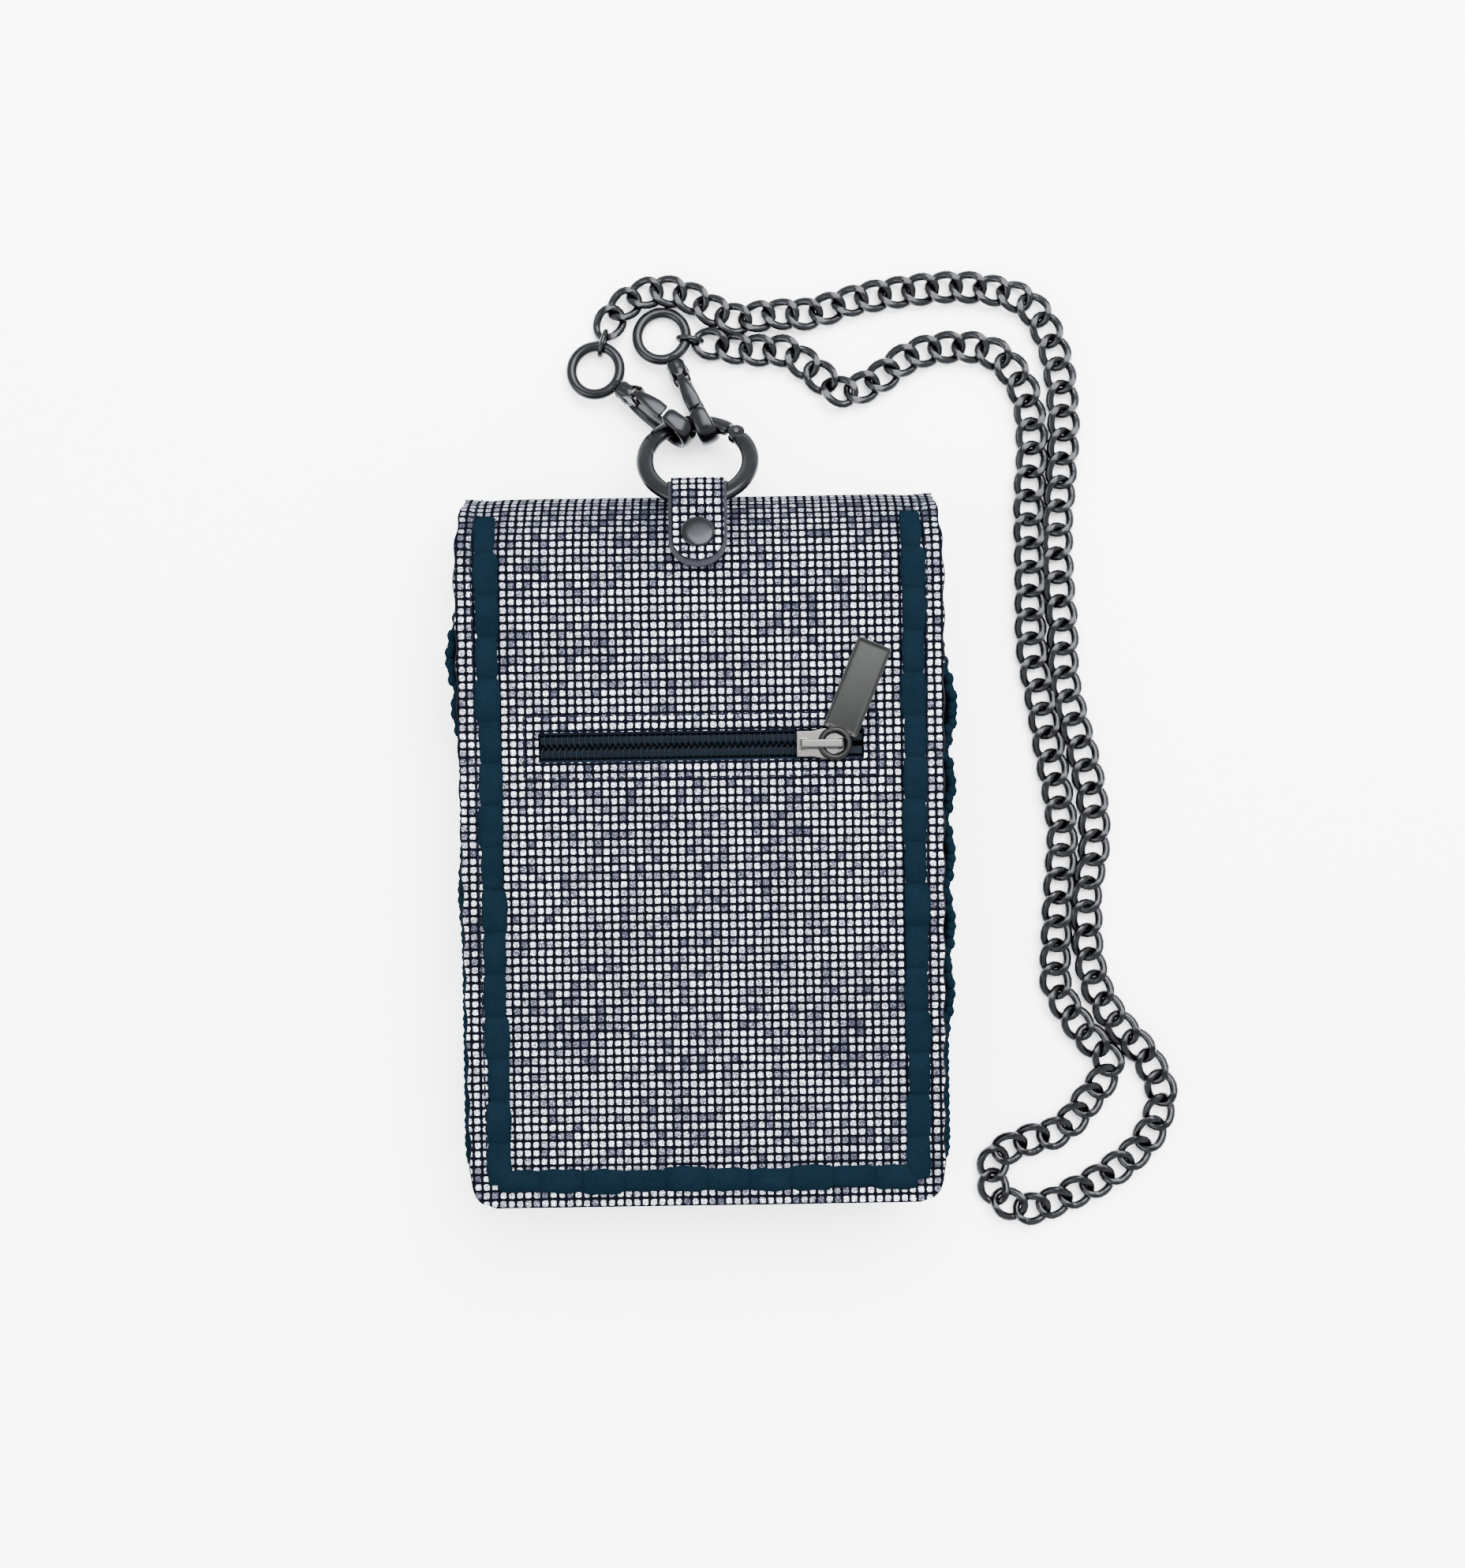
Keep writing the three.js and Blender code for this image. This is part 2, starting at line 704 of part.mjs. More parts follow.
// A clasp's own frame: its origin is the ring's wire, u runs from the hook's tip to the swivel,
// v is across the loop and w is the loop's normal.
function claspFrame({ ringAngle, heading, lean }) {
  const turn = THREE.MathUtils.degToRad(heading);
  const roll = THREE.MathUtils.degToRad(lean);
  const level = Math.sqrt(1 - claspSlope * claspSlope);
  const u = new THREE.Vector3(level * Math.cos(turn), level * Math.sin(turn), -claspSlope);
  const sideways = new THREE.Vector3().crossVectors(u, new THREE.Vector3(0, 0, 1)).normalize();
  const up = new THREE.Vector3().crossVectors(sideways, u);
  const v = up.clone().multiplyScalar(Math.cos(roll)).addScaledVector(sideways, Math.sin(roll));
  const w = new THREE.Vector3().crossVectors(u, v);
  const origin = ringToRow(onRing(ringAngle));
  return { origin, u, v, w, sideways, up };
}

function framedGroup(origin, x, y, z) {
  const frame = new THREE.Group();
  frame.applyMatrix4(new THREE.Matrix4().makeBasis(x, y, z).setPosition(origin));
  group.add(frame);
  return frame;
}

function polygon(points) {
  return new THREE.Shape(points.map(([x, y]) => new THREE.Vector2(x, y)));
}

function makeHook(frame, side) {
  const outline = polygon([
    [-5.6, -1.6],
    [-4.6, -3.2],
    [-2.6, -4.3],
    [0, -4.6],
    [9.5, -4.6],
    [13.6, -3.2],
    [15, -2.3],
    [17.2, -2.3],
    [17.2, 2.3],
    [15, 2.3],
    [13.6, 3.6],
    [12.4, 4.6],
    [0, 4.6],
    [-2.6, 4.3],
    [-4.6, 3.2],
    [-5.6, 1.6],
  ]);
  const hole = polygon([
    [-3.8, -1.2],
    [-2.6, -2.4],
    [-1.4, -2.8],
    [9, -2.8],
    [9.7, -2.1],
    [9.7, 2.1],
    [9, 2.8],
    [-1.4, 2.8],
    [-2.6, 2.4],
    [-3.8, 1.2],
  ]);
  const gateGap = box(3, 9.7, 2, 6, -3, 3);
  const leverSlot = box(9, 13.2, 2.1, 6, -leverSlotHalf, leverSlotHalf);
  const bore = cylinder(swivelStemRadius + 0.4, 12, 18, 12);
  const counterbore = cylinder(swivelHeadRadius + 0.35, 9, 13.2, 12);
  const pinHole = cylinder(pinBore, -3, 3, 12);
  pinHole.translate(leverPinU, leverPinV, 0);
  for (const tool of [bore, counterbore]) {
    tool.rotateY(Math.PI / 2);
  }
  const plate = extrudeUp(outline, -hookHalf, hookHalf);
  const collar = cylinder(2.3, 15, 17.2, 12);
  collar.rotateY(Math.PI / 2);
  const hook = cut(join(plate, collar), extrudeUp(hole, -3, 3), gateGap, leverSlot, bore, counterbore, pinHole);
  place(`hook_${side}`, hook, gunmetal, 0.35, 1, frame);
}

function makeTrigger(frame, side) {
  const outline = polygon([
    [3.3, 2.9],
    [9.4, 2.9],
    [10, 2.4],
    [12.4, 2.4],
    [12.4, 4.2],
    [10.8, 4.8],
    [9.6, 6.4],
    [8, 6.4],
    [7.2, 4.6],
    [3.3, 4.6],
  ]);
  const pinHole = cylinder(pinBore, -3, 3, 12);
  pinHole.translate(leverPinU, leverPinV, 0);
  place(`trigger_${side}`, cut(extrudeUp(outline, -leverHalf, leverHalf), pinHole), gunmetal, 0.35, 1, frame);
  const pin = cylinder(pinRadius, -hookHalf + 0.1, hookHalf - 0.1, 12);
  pin.translate(leverPinU, leverPinV, 0);
  place(`trigger_pin_${side}`, pin, nickel, 0.35, 1, frame);
  const leaf = box(12.65, 12.95, 2.3, 3.7, -0.7, 0.7);
  place(`trigger_spring_${side}`, leaf, nickel, 0.4, 1, frame);
}

function makeSwivel(frame, side) {
  const ring = new THREE.TorusGeometry(swivelRadius, swivelWire, 8, 32);
  ring.translate(swivelCentre, 0, 0);
  const stem = cylinder(swivelStemRadius, 12, 18.6, 12);
  const head = cylinder(swivelHeadRadius, 11, 12.8, 12);
  for (const piece of [stem, head]) {
    piece.rotateY(Math.PI / 2);
  }
  place(`swivel_${side}`, join(ring, stem, head), gunmetal, 0.35, 1, frame);
}

function makeClasps() {
  for (const clasp of clasps) {
    const { origin, u, v, w, sideways, up } = claspFrame(clasp);
    const frame = framedGroup(origin, u, v, w);
    makeHook(frame, clasp.side);
    makeTrigger(frame, clasp.side);
    const level = framedGroup(origin, u, sideways.clone().negate(), up);
    makeSwivel(level, clasp.side);
  }
}

// The chain's route, from the left clasp's swivel to its far bend and back to the right clasp's swivel.
const chainRoute = [
  [-23.2, 108], [-21.4, 113], [-17.3, 117.4], [-10.5, 120.3], [-3, 119.3], [3, 115.8], [10, 112.8], [19, 114],
  [29, 114], [39, 117], [51, 119], [65, 120], [75, 119], [83, 116], [88, 109], [91, 99], [92, 84], [91, 70],
  [90, 59], [90, 47], [91, 32], [91, 23], [93, 12], [96, 0], [98, -12], [98, -22], [96, -33], [97, -53],
  [102, -64], [110, -74], [114, -84], [110, -95], [101, -103], [92, -108], [80, -112], [72, -108], [72, -99],
  [80, -95], [89, -92], [96, -84], [101, -76], [94, -67], [88, -56], [88, -46], [89, -32], [90, -18],
  [89, -8], [87, 4], [85, 17], [83, 30], [83, 47], [83, 67], [84, 80], [82, 94], [75, 103], [65, 105],
  [54, 103], [45, 97], [37, 94], [30, 99], [23, 104.3], [13, 105], [5, 106.5], [-0.9, 107.6],
];

function makeChain() {
  const points = chainRoute.map(([x, y]) => new THREE.Vector3(x, y, chainZ));
  const path = new THREE.CatmullRomCurve3(points, false, 'centripetal');
  const outline = [];
  const sides = 8;
  for (let i = 0; i < sides; i += 1) {
    const angle = (2 * Math.PI * (i + 0.5)) / sides;
    outline.push([chainHalfHeight * 1.08 * Math.cos(angle), chainHalfWidth * 1.08 * Math.sin(angle)]);
  }
  const section = polygon(outline);
  const tube = new THREE.ExtrudeGeometry(section, { steps: 80, bevelEnabled: false, extrudePath: path });
  place('chain', tube, gunmetal, 0.35, 1);
}

makeBack();
makeFlap();
makeCrochet();
makeSnap();
makeLacing();
makeZip();
makePocket();
makeSlider();
makePull();
makeTab();
makeRing();
makeClasps();
makeChain();
group.position.y = centreShiftY;

export default group;
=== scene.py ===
import json
import math
import random
import bmesh
import bpy
from mathutils import Matrix, Vector, noise

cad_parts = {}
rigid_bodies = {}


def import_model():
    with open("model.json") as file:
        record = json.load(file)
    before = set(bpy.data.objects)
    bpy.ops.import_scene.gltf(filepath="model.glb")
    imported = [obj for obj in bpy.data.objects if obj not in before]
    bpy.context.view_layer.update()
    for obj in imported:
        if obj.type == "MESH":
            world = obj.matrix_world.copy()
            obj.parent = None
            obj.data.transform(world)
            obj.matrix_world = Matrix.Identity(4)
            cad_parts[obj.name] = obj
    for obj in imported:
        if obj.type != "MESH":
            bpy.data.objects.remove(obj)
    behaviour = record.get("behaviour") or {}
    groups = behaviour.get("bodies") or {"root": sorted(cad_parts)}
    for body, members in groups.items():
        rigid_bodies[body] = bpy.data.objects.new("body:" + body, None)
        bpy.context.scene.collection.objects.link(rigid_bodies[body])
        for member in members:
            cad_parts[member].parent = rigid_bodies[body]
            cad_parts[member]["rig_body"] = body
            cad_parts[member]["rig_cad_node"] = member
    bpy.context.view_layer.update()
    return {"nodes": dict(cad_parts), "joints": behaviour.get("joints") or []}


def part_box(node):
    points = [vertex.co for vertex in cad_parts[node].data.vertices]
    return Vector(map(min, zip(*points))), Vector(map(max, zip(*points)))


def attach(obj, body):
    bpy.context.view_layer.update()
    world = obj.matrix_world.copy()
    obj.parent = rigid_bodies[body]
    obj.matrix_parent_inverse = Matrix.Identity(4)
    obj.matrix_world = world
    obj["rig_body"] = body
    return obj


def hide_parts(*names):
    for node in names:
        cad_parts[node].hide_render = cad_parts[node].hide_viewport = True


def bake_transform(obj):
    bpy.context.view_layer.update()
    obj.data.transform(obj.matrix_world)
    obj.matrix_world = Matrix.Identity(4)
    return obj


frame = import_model()
joints = {joint["name"]: joint for joint in frame["joints"]}
random.seed(7)
print("frame loaded")


# small helpers for modelling
def deselect():
    if bpy.context.object and bpy.context.object.mode != "OBJECT":
        bpy.ops.object.mode_set(mode="OBJECT")
    bpy.ops.object.select_all(action="DESELECT")


def pick(piece):
    deselect()
    piece.select_set(True)
    bpy.context.view_layer.objects.active = piece


def named(name):
    piece = bpy.context.object
    piece.name = name
    piece.data.name = name
    return piece


def added(name, primitive, **sizes):  # a new primitive, alone and named
    deselect()
    primitive(**sizes)
    return named(name)


def settle(piece):  # the place goes into the mesh, and the object stays at the origin
    pick(piece)
    bpy.ops.object.transform_apply(location=True, rotation=True, scale=True)
    return piece


def turns(steps):
    return [2 * math.pi * i / steps for i in range(steps)]


def spun(degrees, axis):
    return Matrix.Rotation(math.radians(degrees), 4, axis)


def oval(angle, outPower, risePower):  # a point on a round section with flattened sides
    out, rise = math.cos(angle), math.sin(angle)
    return math.copysign(abs(out) ** outPower, out), math.copysign(abs(rise) ** risePower, rise)


def editAll(piece):
    pick(piece)
    bpy.ops.object.mode_set(mode="EDIT")
    bpy.ops.mesh.select_all(action="SELECT")


def editDone():
    bpy.ops.object.mode_set(mode="OBJECT")


def editFaces(piece, test):  # goes into edit mode with just the faces that pass the test
    editAll(piece)
    bpy.ops.mesh.select_mode(type="FACE")
    bpy.ops.mesh.select_all(action="DESELECT")
    editDone()
    for face in piece.data.polygons:
        face.select = test(face)
    bpy.ops.object.mode_set(mode="EDIT")


def closeUp(piece, distance=1e-6):  # merges seams and turns the faces outwards
    editAll(piece)
    bpy.ops.mesh.remove_doubles(threshold=distance)
    bpy.ops.mesh.normals_make_consistent(inside=False)
    editDone()
    return piece


def modify(piece, kind, **settings):  # adds a modifier and applies it
    pick(piece)
    modifier = piece.modifiers.new(kind.lower(), kind)
    for setting, value in settings.items():
        setattr(modifier, setting, value)
    bpy.ops.object.modifier_apply(modifier=modifier.name)
    return piece


def bevel(piece, width, segments, degrees):
    return modify(piece, "BEVEL", width=width, segments=segments, limit_method="ANGLE",
                  angle_limit=math.radians(degrees))


def smooth(piece, degrees=None):
    pick(piece)
    if degrees is None:
        bpy.ops.object.shade_smooth()
    else:
        bpy.ops.object.shade_smooth_by_angle(angle=math.radians(degrees))
    return piece


def joined(name, pieces):
    deselect()
    for piece in pieces:
        piece.select_set(True)
    bpy.context.view_layer.objects.active = pieces[0]
    bpy.ops.object.join()
    return named(name)


def copies(name, pattern, places):  # one mesh of the pattern at each place
    work = bmesh.new()
    for place in places:
        mesh = pattern.data.copy()
        mesh.transform(place)
        work.from_mesh(mesh)
        bpy.data.meshes.remove(mesh)
    mesh = bpy.data.meshes.new(name)
    work.to_mesh(mesh)
    work.free()
    piece = bpy.data.objects.new(name, mesh)
    bpy.context.collection.objects.link(piece)
    bpy.data.objects.remove(pattern)
    pick(piece)
    return piece


def layCloth(piece, spots):  # one spot on the cloth for each vertex
    cloth = piece.data.uv_layers.active.data
    for loop in piece.data.loops:
        cloth[loop.index].uv = spots[loop.vertex_index]
    return piece


def gridPiece(name, across, along, shape):  # shape gives each grid point's place and its spot on the cloth
    grid = bpy.ops.mesh.primitive_grid_add
    piece = added(name, grid, x_subdivisions=across, y_subdivisions=along, size=1)
    spots = []
    for vertex in piece.data.vertices:
        place, spot = shape(vertex.co.x + 0.5, vertex.co.y + 0.5)
        vertex.co = place
        spots.append(spot)
    return layCloth(piece, spots)


def sweep(name, rings):  # skins a row of rings, each closed, and caps both ends
    middles = [sum(ring, Vector()) / len(ring) for ring in rings]
    rows = [[middles[0]] * len(rings[0])] + rings + [[middles[-1]] * len(rings[0])]
    reach = [0.0]
    for a, b in zip([middles[0]] + middles, middles + [middles[-1]]):
        reach.append(reach[-1] + (b - a).length)
    around = len(rings[0])
    girth = sum((a - b).length for a, b in zip(rings[len(rings) // 2], rings[len(rings) // 2][1:]))

    def shape(u, v):
        row = round(v * (len(rows) - 1))
        column = round(u * around)
        return rows[row][column % around], (girth * u, reach[row])

    piece = gridPiece(name, around, len(rows) - 1, shape)
    return smooth(closeUp(piece), 40)


def turned(name, profile, steps=40):  # profile is (radius, height) up the Z axis
    rings = []
    for radius, height in profile:
        rings.append([Vector((radius * math.cos(a), radius * math.sin(a), height)) for a in turns(steps)])
    return sweep(name, rings)


def cadCopy(name, node):  # a merged copy of a CAD node's solid, free of its body
    deselect()
    piece = frame["nodes"][node].copy()
    piece.data = piece.data.copy()
    piece.parent = None
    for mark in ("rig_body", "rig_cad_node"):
        if mark in piece:
            del piece[mark]
    piece.data.materials.clear()
    bpy.context.collection.objects.link(piece)
    pick(piece)
    named(name)
    return closeUp(piece, 1e-5)


def castCopy(name, node, voxel, rounds, keep):  # a cast metal version of a plain CAD solid
    piece = cadCopy(name, node)
    modify(piece, "REMESH", mode="VOXEL", voxel_size=voxel)
    modify(piece, "SMOOTH", factor=0.5, iterations=rounds)
    modify(piece, "DECIMATE", ratio=keep)
    return smooth(piece)


def edgedCopy(name, node, width, segments=3, degrees=35):  # the CAD solid with its edges rounded
    piece = cadCopy(name, node)
    editAll(piece)
    bpy.ops.mesh.dissolve_limited(angle_limit=math.radians(3))
    editDone()
    if width > 0:
        bevel(piece, width, segments, degrees)
    return smooth(piece, 40)


def finished(piece, finish, slot, body, *nodes):
    piece.data.materials.clear()
    piece.data.materials.append(finish)
    if body:
        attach(piece, body)
    if nodes:
        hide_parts(*nodes)
    return piece


# shader maths
class Wire:  # one socket, so that sums on it read as sums
    def __init__(self, tree, socket):
        self.tree = tree
        self.socket = socket

    def node(self, kind, settings=None, inputs=None, output=0):
        made = self.tree.nodes.new("ShaderNode" + kind)
        for setting, value in (settings or {}).items():
            if setting == "stops":
                ramp = made.color_ramp.elements
                for i, (position, color) in enumerate(value):
                    stop = ramp[i] if i < 2 else ramp.new(position)
                    stop.position = position
                    stop.color = (*color, 1)
            else:
                setattr(made, setting, value)
        for socket, value in (inputs or {}).items():
            if isinstance(value, Wire):
                self.tree.links.new(value.socket, made.inputs[socket])
            else:
                made.inputs[socket].default_value = value
        return Wire(self.tree, made.outputs[output])

    def out(self, name):
        return Wire(self.tree, self.socket.node.outputs[name])

    def math(self, operation, a, b=0.0, clamp=False):
        return self.node("Math", {"operation": operation, "use_clamp": clamp}, {0: a, 1: b})

    def __add__(self, other):
        return self.math("ADD", self, other)

    __radd__ = __add__

    def __mul__(self, other):
        return self.math("MULTIPLY", self, other)

    __rmul__ = __mul__

    def __sub__(self, other):
        return self.math("SUBTRACT", self, other)

    def __rsub__(self, other):
        return self.math("SUBTRACT", other, self)

    def __pow__(self, other):
        return self.math("POWER", self, other)

    def __abs__(self):
        return self.math("ABSOLUTE", self)

    def clamped(self):
        return self.math("ADD", self, 0.0, True)

    def sine(self):
        return self.math("SINE", self)

    def mix(self, low, high):  # this wire picks between two colours
        low = low if isinstance(low, Wire) else (*low, 1)
        high = high if isinstance(high, Wire) else (*high, 1)
        return self.node("Mix", {"data_type": "RGBA"}, {0: self, 6: low, 7: high}, 2)

    def scaled(self, size):
        return self.node("VectorMath", {"operation": "SCALE"}, {0: self, "Scale": size})

    def stretched(self, sizes):
        return self.node("Mapping", None, {"Vector": self, "Scale": sizes})

    def vector(self, operation, *inputs):
        return self.node("VectorMath", {"operation": operation}, dict(enumerate((self, *inputs))))

    def split(self):
        return self.node("SeparateXYZ", None, {0: self})

    def cloud(self, scale, detail=2.0, roughness=0.5):
        look = {"Vector": self, "Scale": scale, "Detail": detail, "Roughness": roughness}
        return self.node("TexNoise", None, look)

    def bump(self, strength, distance):
        return self.node("Bump", None, {"Height": self, "Strength": strength, "Distance": distance})


def newFinish(name, coords, fixed):
    finish = bpy.data.materials.new(name)
    finish.use_nodes = True
    tree = finish.node_tree
    shader = tree.nodes["Principled BSDF"]
    for socket, value in fixed.items():
        shader.inputs[socket].default_value = value

    def feed(wires):
        for socket, wire in wires.items():
            tree.links.new(wire.socket, shader.inputs[socket])
        return finish

    place = Wire(tree, None).node("TexCoord", None, None, coords)
    return place, feed


def shadeOf(color, times, plus=0.0):
    return tuple(c * times + plus for c in color)


def glitterFinish(name):
    look = {
        "squares": 500, "flakes": 3600,  # for each metre
        "fill": 0.73, "corner": (3.6, 0.28), "sharp": 8, "ragged": 0.30, "uneven": 0.08, "wander": 0.00042,
        # foldStart and the value after it set where and how strongly painted shade darkens the glitter over
        # the top fold
        "mesh": (0.0010, 0.0012, 0.0022), "foldStart": 0.150, "foldPaintedShade": 0.22, "patch": 0.5,
        "shades": [(0.0, (0.010, 0.011, 0.017)), (0.35, (0.060, 0.064, 0.085)), (0.7, (0.35, 0.365, 0.40)),
                   (1.0, (0.96, 0.97, 1.0))],
    }
    place, feed = newFinish(name, "UV", {"Specular IOR Level": 0.0})
    wander = place.cloud(330, 2).out("Color")
    shift = wander.vector("SUBTRACT", (0.5, 0.5, 0.5))
    cells = shift.vector("MULTIPLY_ADD", (look["wander"],) * 3, place).scaled(look["squares"])
    number = cells.vector("FLOOR")
    split = cells.vector("FRACTION").split()
    across = abs(split - 0.5) * 2
    up = abs(split.out("Y") - 0.5) * 2
    power, root = look["corner"]
    edge = (across ** power + up ** power) ** root
    chance = number.node("TexWhiteNoise", {"noise_dimensions": "2D"}, {"Vector": number})
    tint = chance.out("Color")
    ragged = place.cloud(2600, 3) - 0.5
    fill = look["fill"] - edge + ragged * look["ragged"] + (chance - 0.5) * look["uneven"]
    square = (fill * look["sharp"]).clamped()
    flake = place.node("TexVoronoi", None, {"Vector": place, "Scale": look["flakes"]}, "Color")
    facet = flake.node("SeparateColor", None, {0: flake})
    specks = place.cloud(3000, 4, 0.7)
    patch = place.cloud(34, 3)
    upSheet = place.split().out("Y")
    fold = ((upSheet - look["foldStart"]) * 50).clamped()  # painted shade: the top fold is painted darker, standing in for its glancing shading
    bright = (1.05 - (0.62 - specks).clamped() * 3.0 - (facet ** 3) * 0.45 - (chance ** 3) * 0.6
              + (patch - 0.5) * look["patch"] - fold * look["foldPaintedShade"]).clamped()
    grey = bright.node("ValToRGB", {"stops": look["shades"]}, {0: bright})
    tinted = grey.node("Mix", {"data_type": "RGBA", "blend_type": "OVERLAY"}, {0: 0.04, 6: grey, 7: tint}, 2)
    height = square * (0.7 + facet * 0.5)
    return feed({"Base Color": square.mix(look["mesh"], tinted), "Metallic": square * 0.25,
                 "Roughness": 0.62 - square * (0.12 + facet * 0.2), "Normal": height.bump(0.6, 0.00014)})


def leatherFinish(name, color, rough=0.5):
    place, feed = newFinish(name, "Object", {"Specular IOR Level": 0.04})
    grain = place.node("TexVoronoi", {"feature": "DISTANCE_TO_EDGE"}, {"Vector": place, "Scale": 1500})
    folds = place.cloud(700, 4)
    dust = place.cloud(60, 3)
    lighter = shadeOf(color, 1.8, 0.001)
    return feed({"Base Color": (dust * 1.2 - 0.1).clamped().mix(color, lighter),
                 "Roughness": rough + (folds - 0.5) * 0.3,
                 "Normal": (grain + folds * 0.4).bump(0.4, 0.00012)})


def yarnFinish(name, color):
    place, feed = newFinish(name, "Object", {"Specular IOR Level": 0.0})
    strands = place.stretched((2600, 900, 2600)).cloud(1.0, 3)
    fluff = place.cloud(3400, 2)
    patch = place.cloud(120, 3)
    lighter = shadeOf(color, 2.2, 0.0008)
    return feed({"Base Color": (strands * 0.6 + patch * 0.6 - 0.2).clamped().mix(color, lighter),
                 "Roughness": 0.82 + fluff * 0.15,
                 "Normal": (strands * 0.7 + fluff * 0.5).bump(0.6, 0.00025)})


def clothFinish(name, color, threads=2400):
    place, feed = newFinish(name, "Object", {"Sheen Weight": 0.02, "Specular IOR Level": 0.05})
    split = place.split()
    warp = (split * threads).sine()
    weft = (split.out("Y") * threads).sine()
    twill = ((split + split.out("Y")) * (threads * 0.5)).sine()
    weave = warp * 0.25 + weft * 0.25 + twill * 0.3 + 0.5
    worn = place.cloud(90, 4)
    lighter = shadeOf(color, 2.2, 0.001)
    return feed({"Base Color": (weave * 0.5 + worn * 0.4).clamped().mix(color, lighter),
                 "Roughness": 0.78 + worn * 0.2,
                 "Normal": weave.bump(0.5, 0.0002)})


def metalFinish(name, color, rough, scratches=0.25):
    place, feed = newFinish(name, "Object", {"Metallic": 1.0, "Specular IOR Level": 0.5})
    streaks = place.stretched((900, 220, 900)).cloud(1.0, 4)
    cloudy = place.cloud(180, 3)
    fine = place.cloud(5200, 2)
    darker = shadeOf(color, 0.72)
    return feed({"Base Color": (cloudy * 0.9 + streaks * 0.3 - 0.1).clamped().mix(darker, color),
                 "Roughness": rough + (streaks - 0.5) * scratches + (cloudy - 0.5) * 0.12,
                 "Normal": (streaks * 0.3 + fine * 0.15).bump(0.05, 0.00003)})


def nylonFinish(name, color):
    place, feed = newFinish(name, "Object", {"Specular IOR Level": 0.03})
    drawn = place.cloud(2400, 3)
    worn = place.cloud(150, 3)
    lighter = shadeOf(color, 1.8, 0.001)
    return feed({"Base Color": worn.mix(color, lighter), "Roughness": 0.28 + drawn * 0.22,
                 "Normal": drawn.bump(0.15, 0.00005)})


glitter = glitterFinish("silverGlitter")
backing = leatherFinish("blackBacking", (0.0016, 0.0019, 0.0028), 0.6)
lining = leatherFinish("tabLining", (0.005, 0.005, 0.007), 0.45)
yarn = yarnFinish("navyYarn", (0.0008, 0.0024, 0.0042))
pocketCloth = clothFinish("pocketCloth", (0.004, 0.0045, 0.006))
tapeCloth = clothFinish("zipTape", (0.0012, 0.0030, 0.0062), 5200)
thread = yarnFinish("stitchThread", (0.0022, 0.0028, 0.005))
nylon = nylonFinish("zipNylon", (0.0011, 0.0024, 0.0039))
nylonCore = nylonFinish("zipCore", (0.0004, 0.0013, 0.0028))
nickel = metalFinish("brightNickel", (0.058, 0.057, 0.054), 0.27, 0.16)
gunmetal = metalFinish("satinGunmetal", (0.0120, 0.0123, 0.0138), 0.25, 0.10)
plateMetal = metalFinish("satinPlate", (0.0125, 0.0127, 0.0127), 0.42, 0.10)
chainMetal = metalFinish("chainGunmetal", (0.0150, 0.0153, 0.0168), 0.23, 0.10)
print("finishes made")


# camera, light and table
view = {"place": (0.00734, -0.00942, 0.470), "turn": -0.9, "sensor": 36, "lens": 45.71}
bpy.ops.object.camera_add(location=view["place"], rotation=(0, 0, math.radians(view["turn"])))
camera = bpy.context.object
camera.data.sensor_fit = "HORIZONTAL"
camera.data.sensor_width = view["sensor"]
camera.data.lens = view["lens"]
bpy.context.scene.camera = camera

studio = {
    "sky": (0.95, 0.975, 1.0), "skyPower": 4.6, "ceiling": (0.34, 0.35, 0.37), "ceilingFrom": 0.86,
    "lamps": [{"place": (0.25, 0.45, 0.9), "turn": (-28, 12, 0), "size": 0.9, "power": 75.0},
              {"place": (-0.8, -0.3, 0.7), "turn": (22, -48, 0), "size": 0.7, "power": 18.0}],
    "table": ((0.90, 0.92, 0.93), (0.93, 0.94, 0.95)), "tableSize": 3.0, "tableDrop": 0.0002,
}
world = bpy.data.worlds.new("studio")
world.use_nodes = True
sky = Wire(world.node_tree, None).node("TexCoord", None, None, "Generated")
skyHeight = sky.split().out("Z")
overhead = ((skyHeight - studio["ceilingFrom"]) * 9).clamped()
skyColor = overhead.mix(studio["sky"], studio["ceiling"])  # a darker ceiling overhead
background = world.node_tree.nodes["Background"]
world.node_tree.links.new(skyColor.socket, background.inputs["Color"])
background.inputs["Strength"].default_value = studio["skyPower"]
bpy.context.scene.world = world
for lamp in studio["lamps"]:
    turn = [math.radians(a) for a in lamp["turn"]]
    bpy.ops.object.light_add(type="AREA", location=lamp["place"], rotation=turn)
    bpy.context.object.data.size = lamp["size"]
    bpy.context.object.data.energy = lamp["power"]

table = added("table", bpy.ops.mesh.primitive_plane_add, size=studio["tableSize"],
              location=(0, 0, -studio["tableDrop"]))
tablePlace, tableFeed = newFinish("paleTable", "Object", {"Roughness": 0.7, "Specular IOR Level": 0.2})
table.data.materials.append(tableFeed({"Base Color": tablePlace.cloud(3, 2).mix(*studio["table"])}))


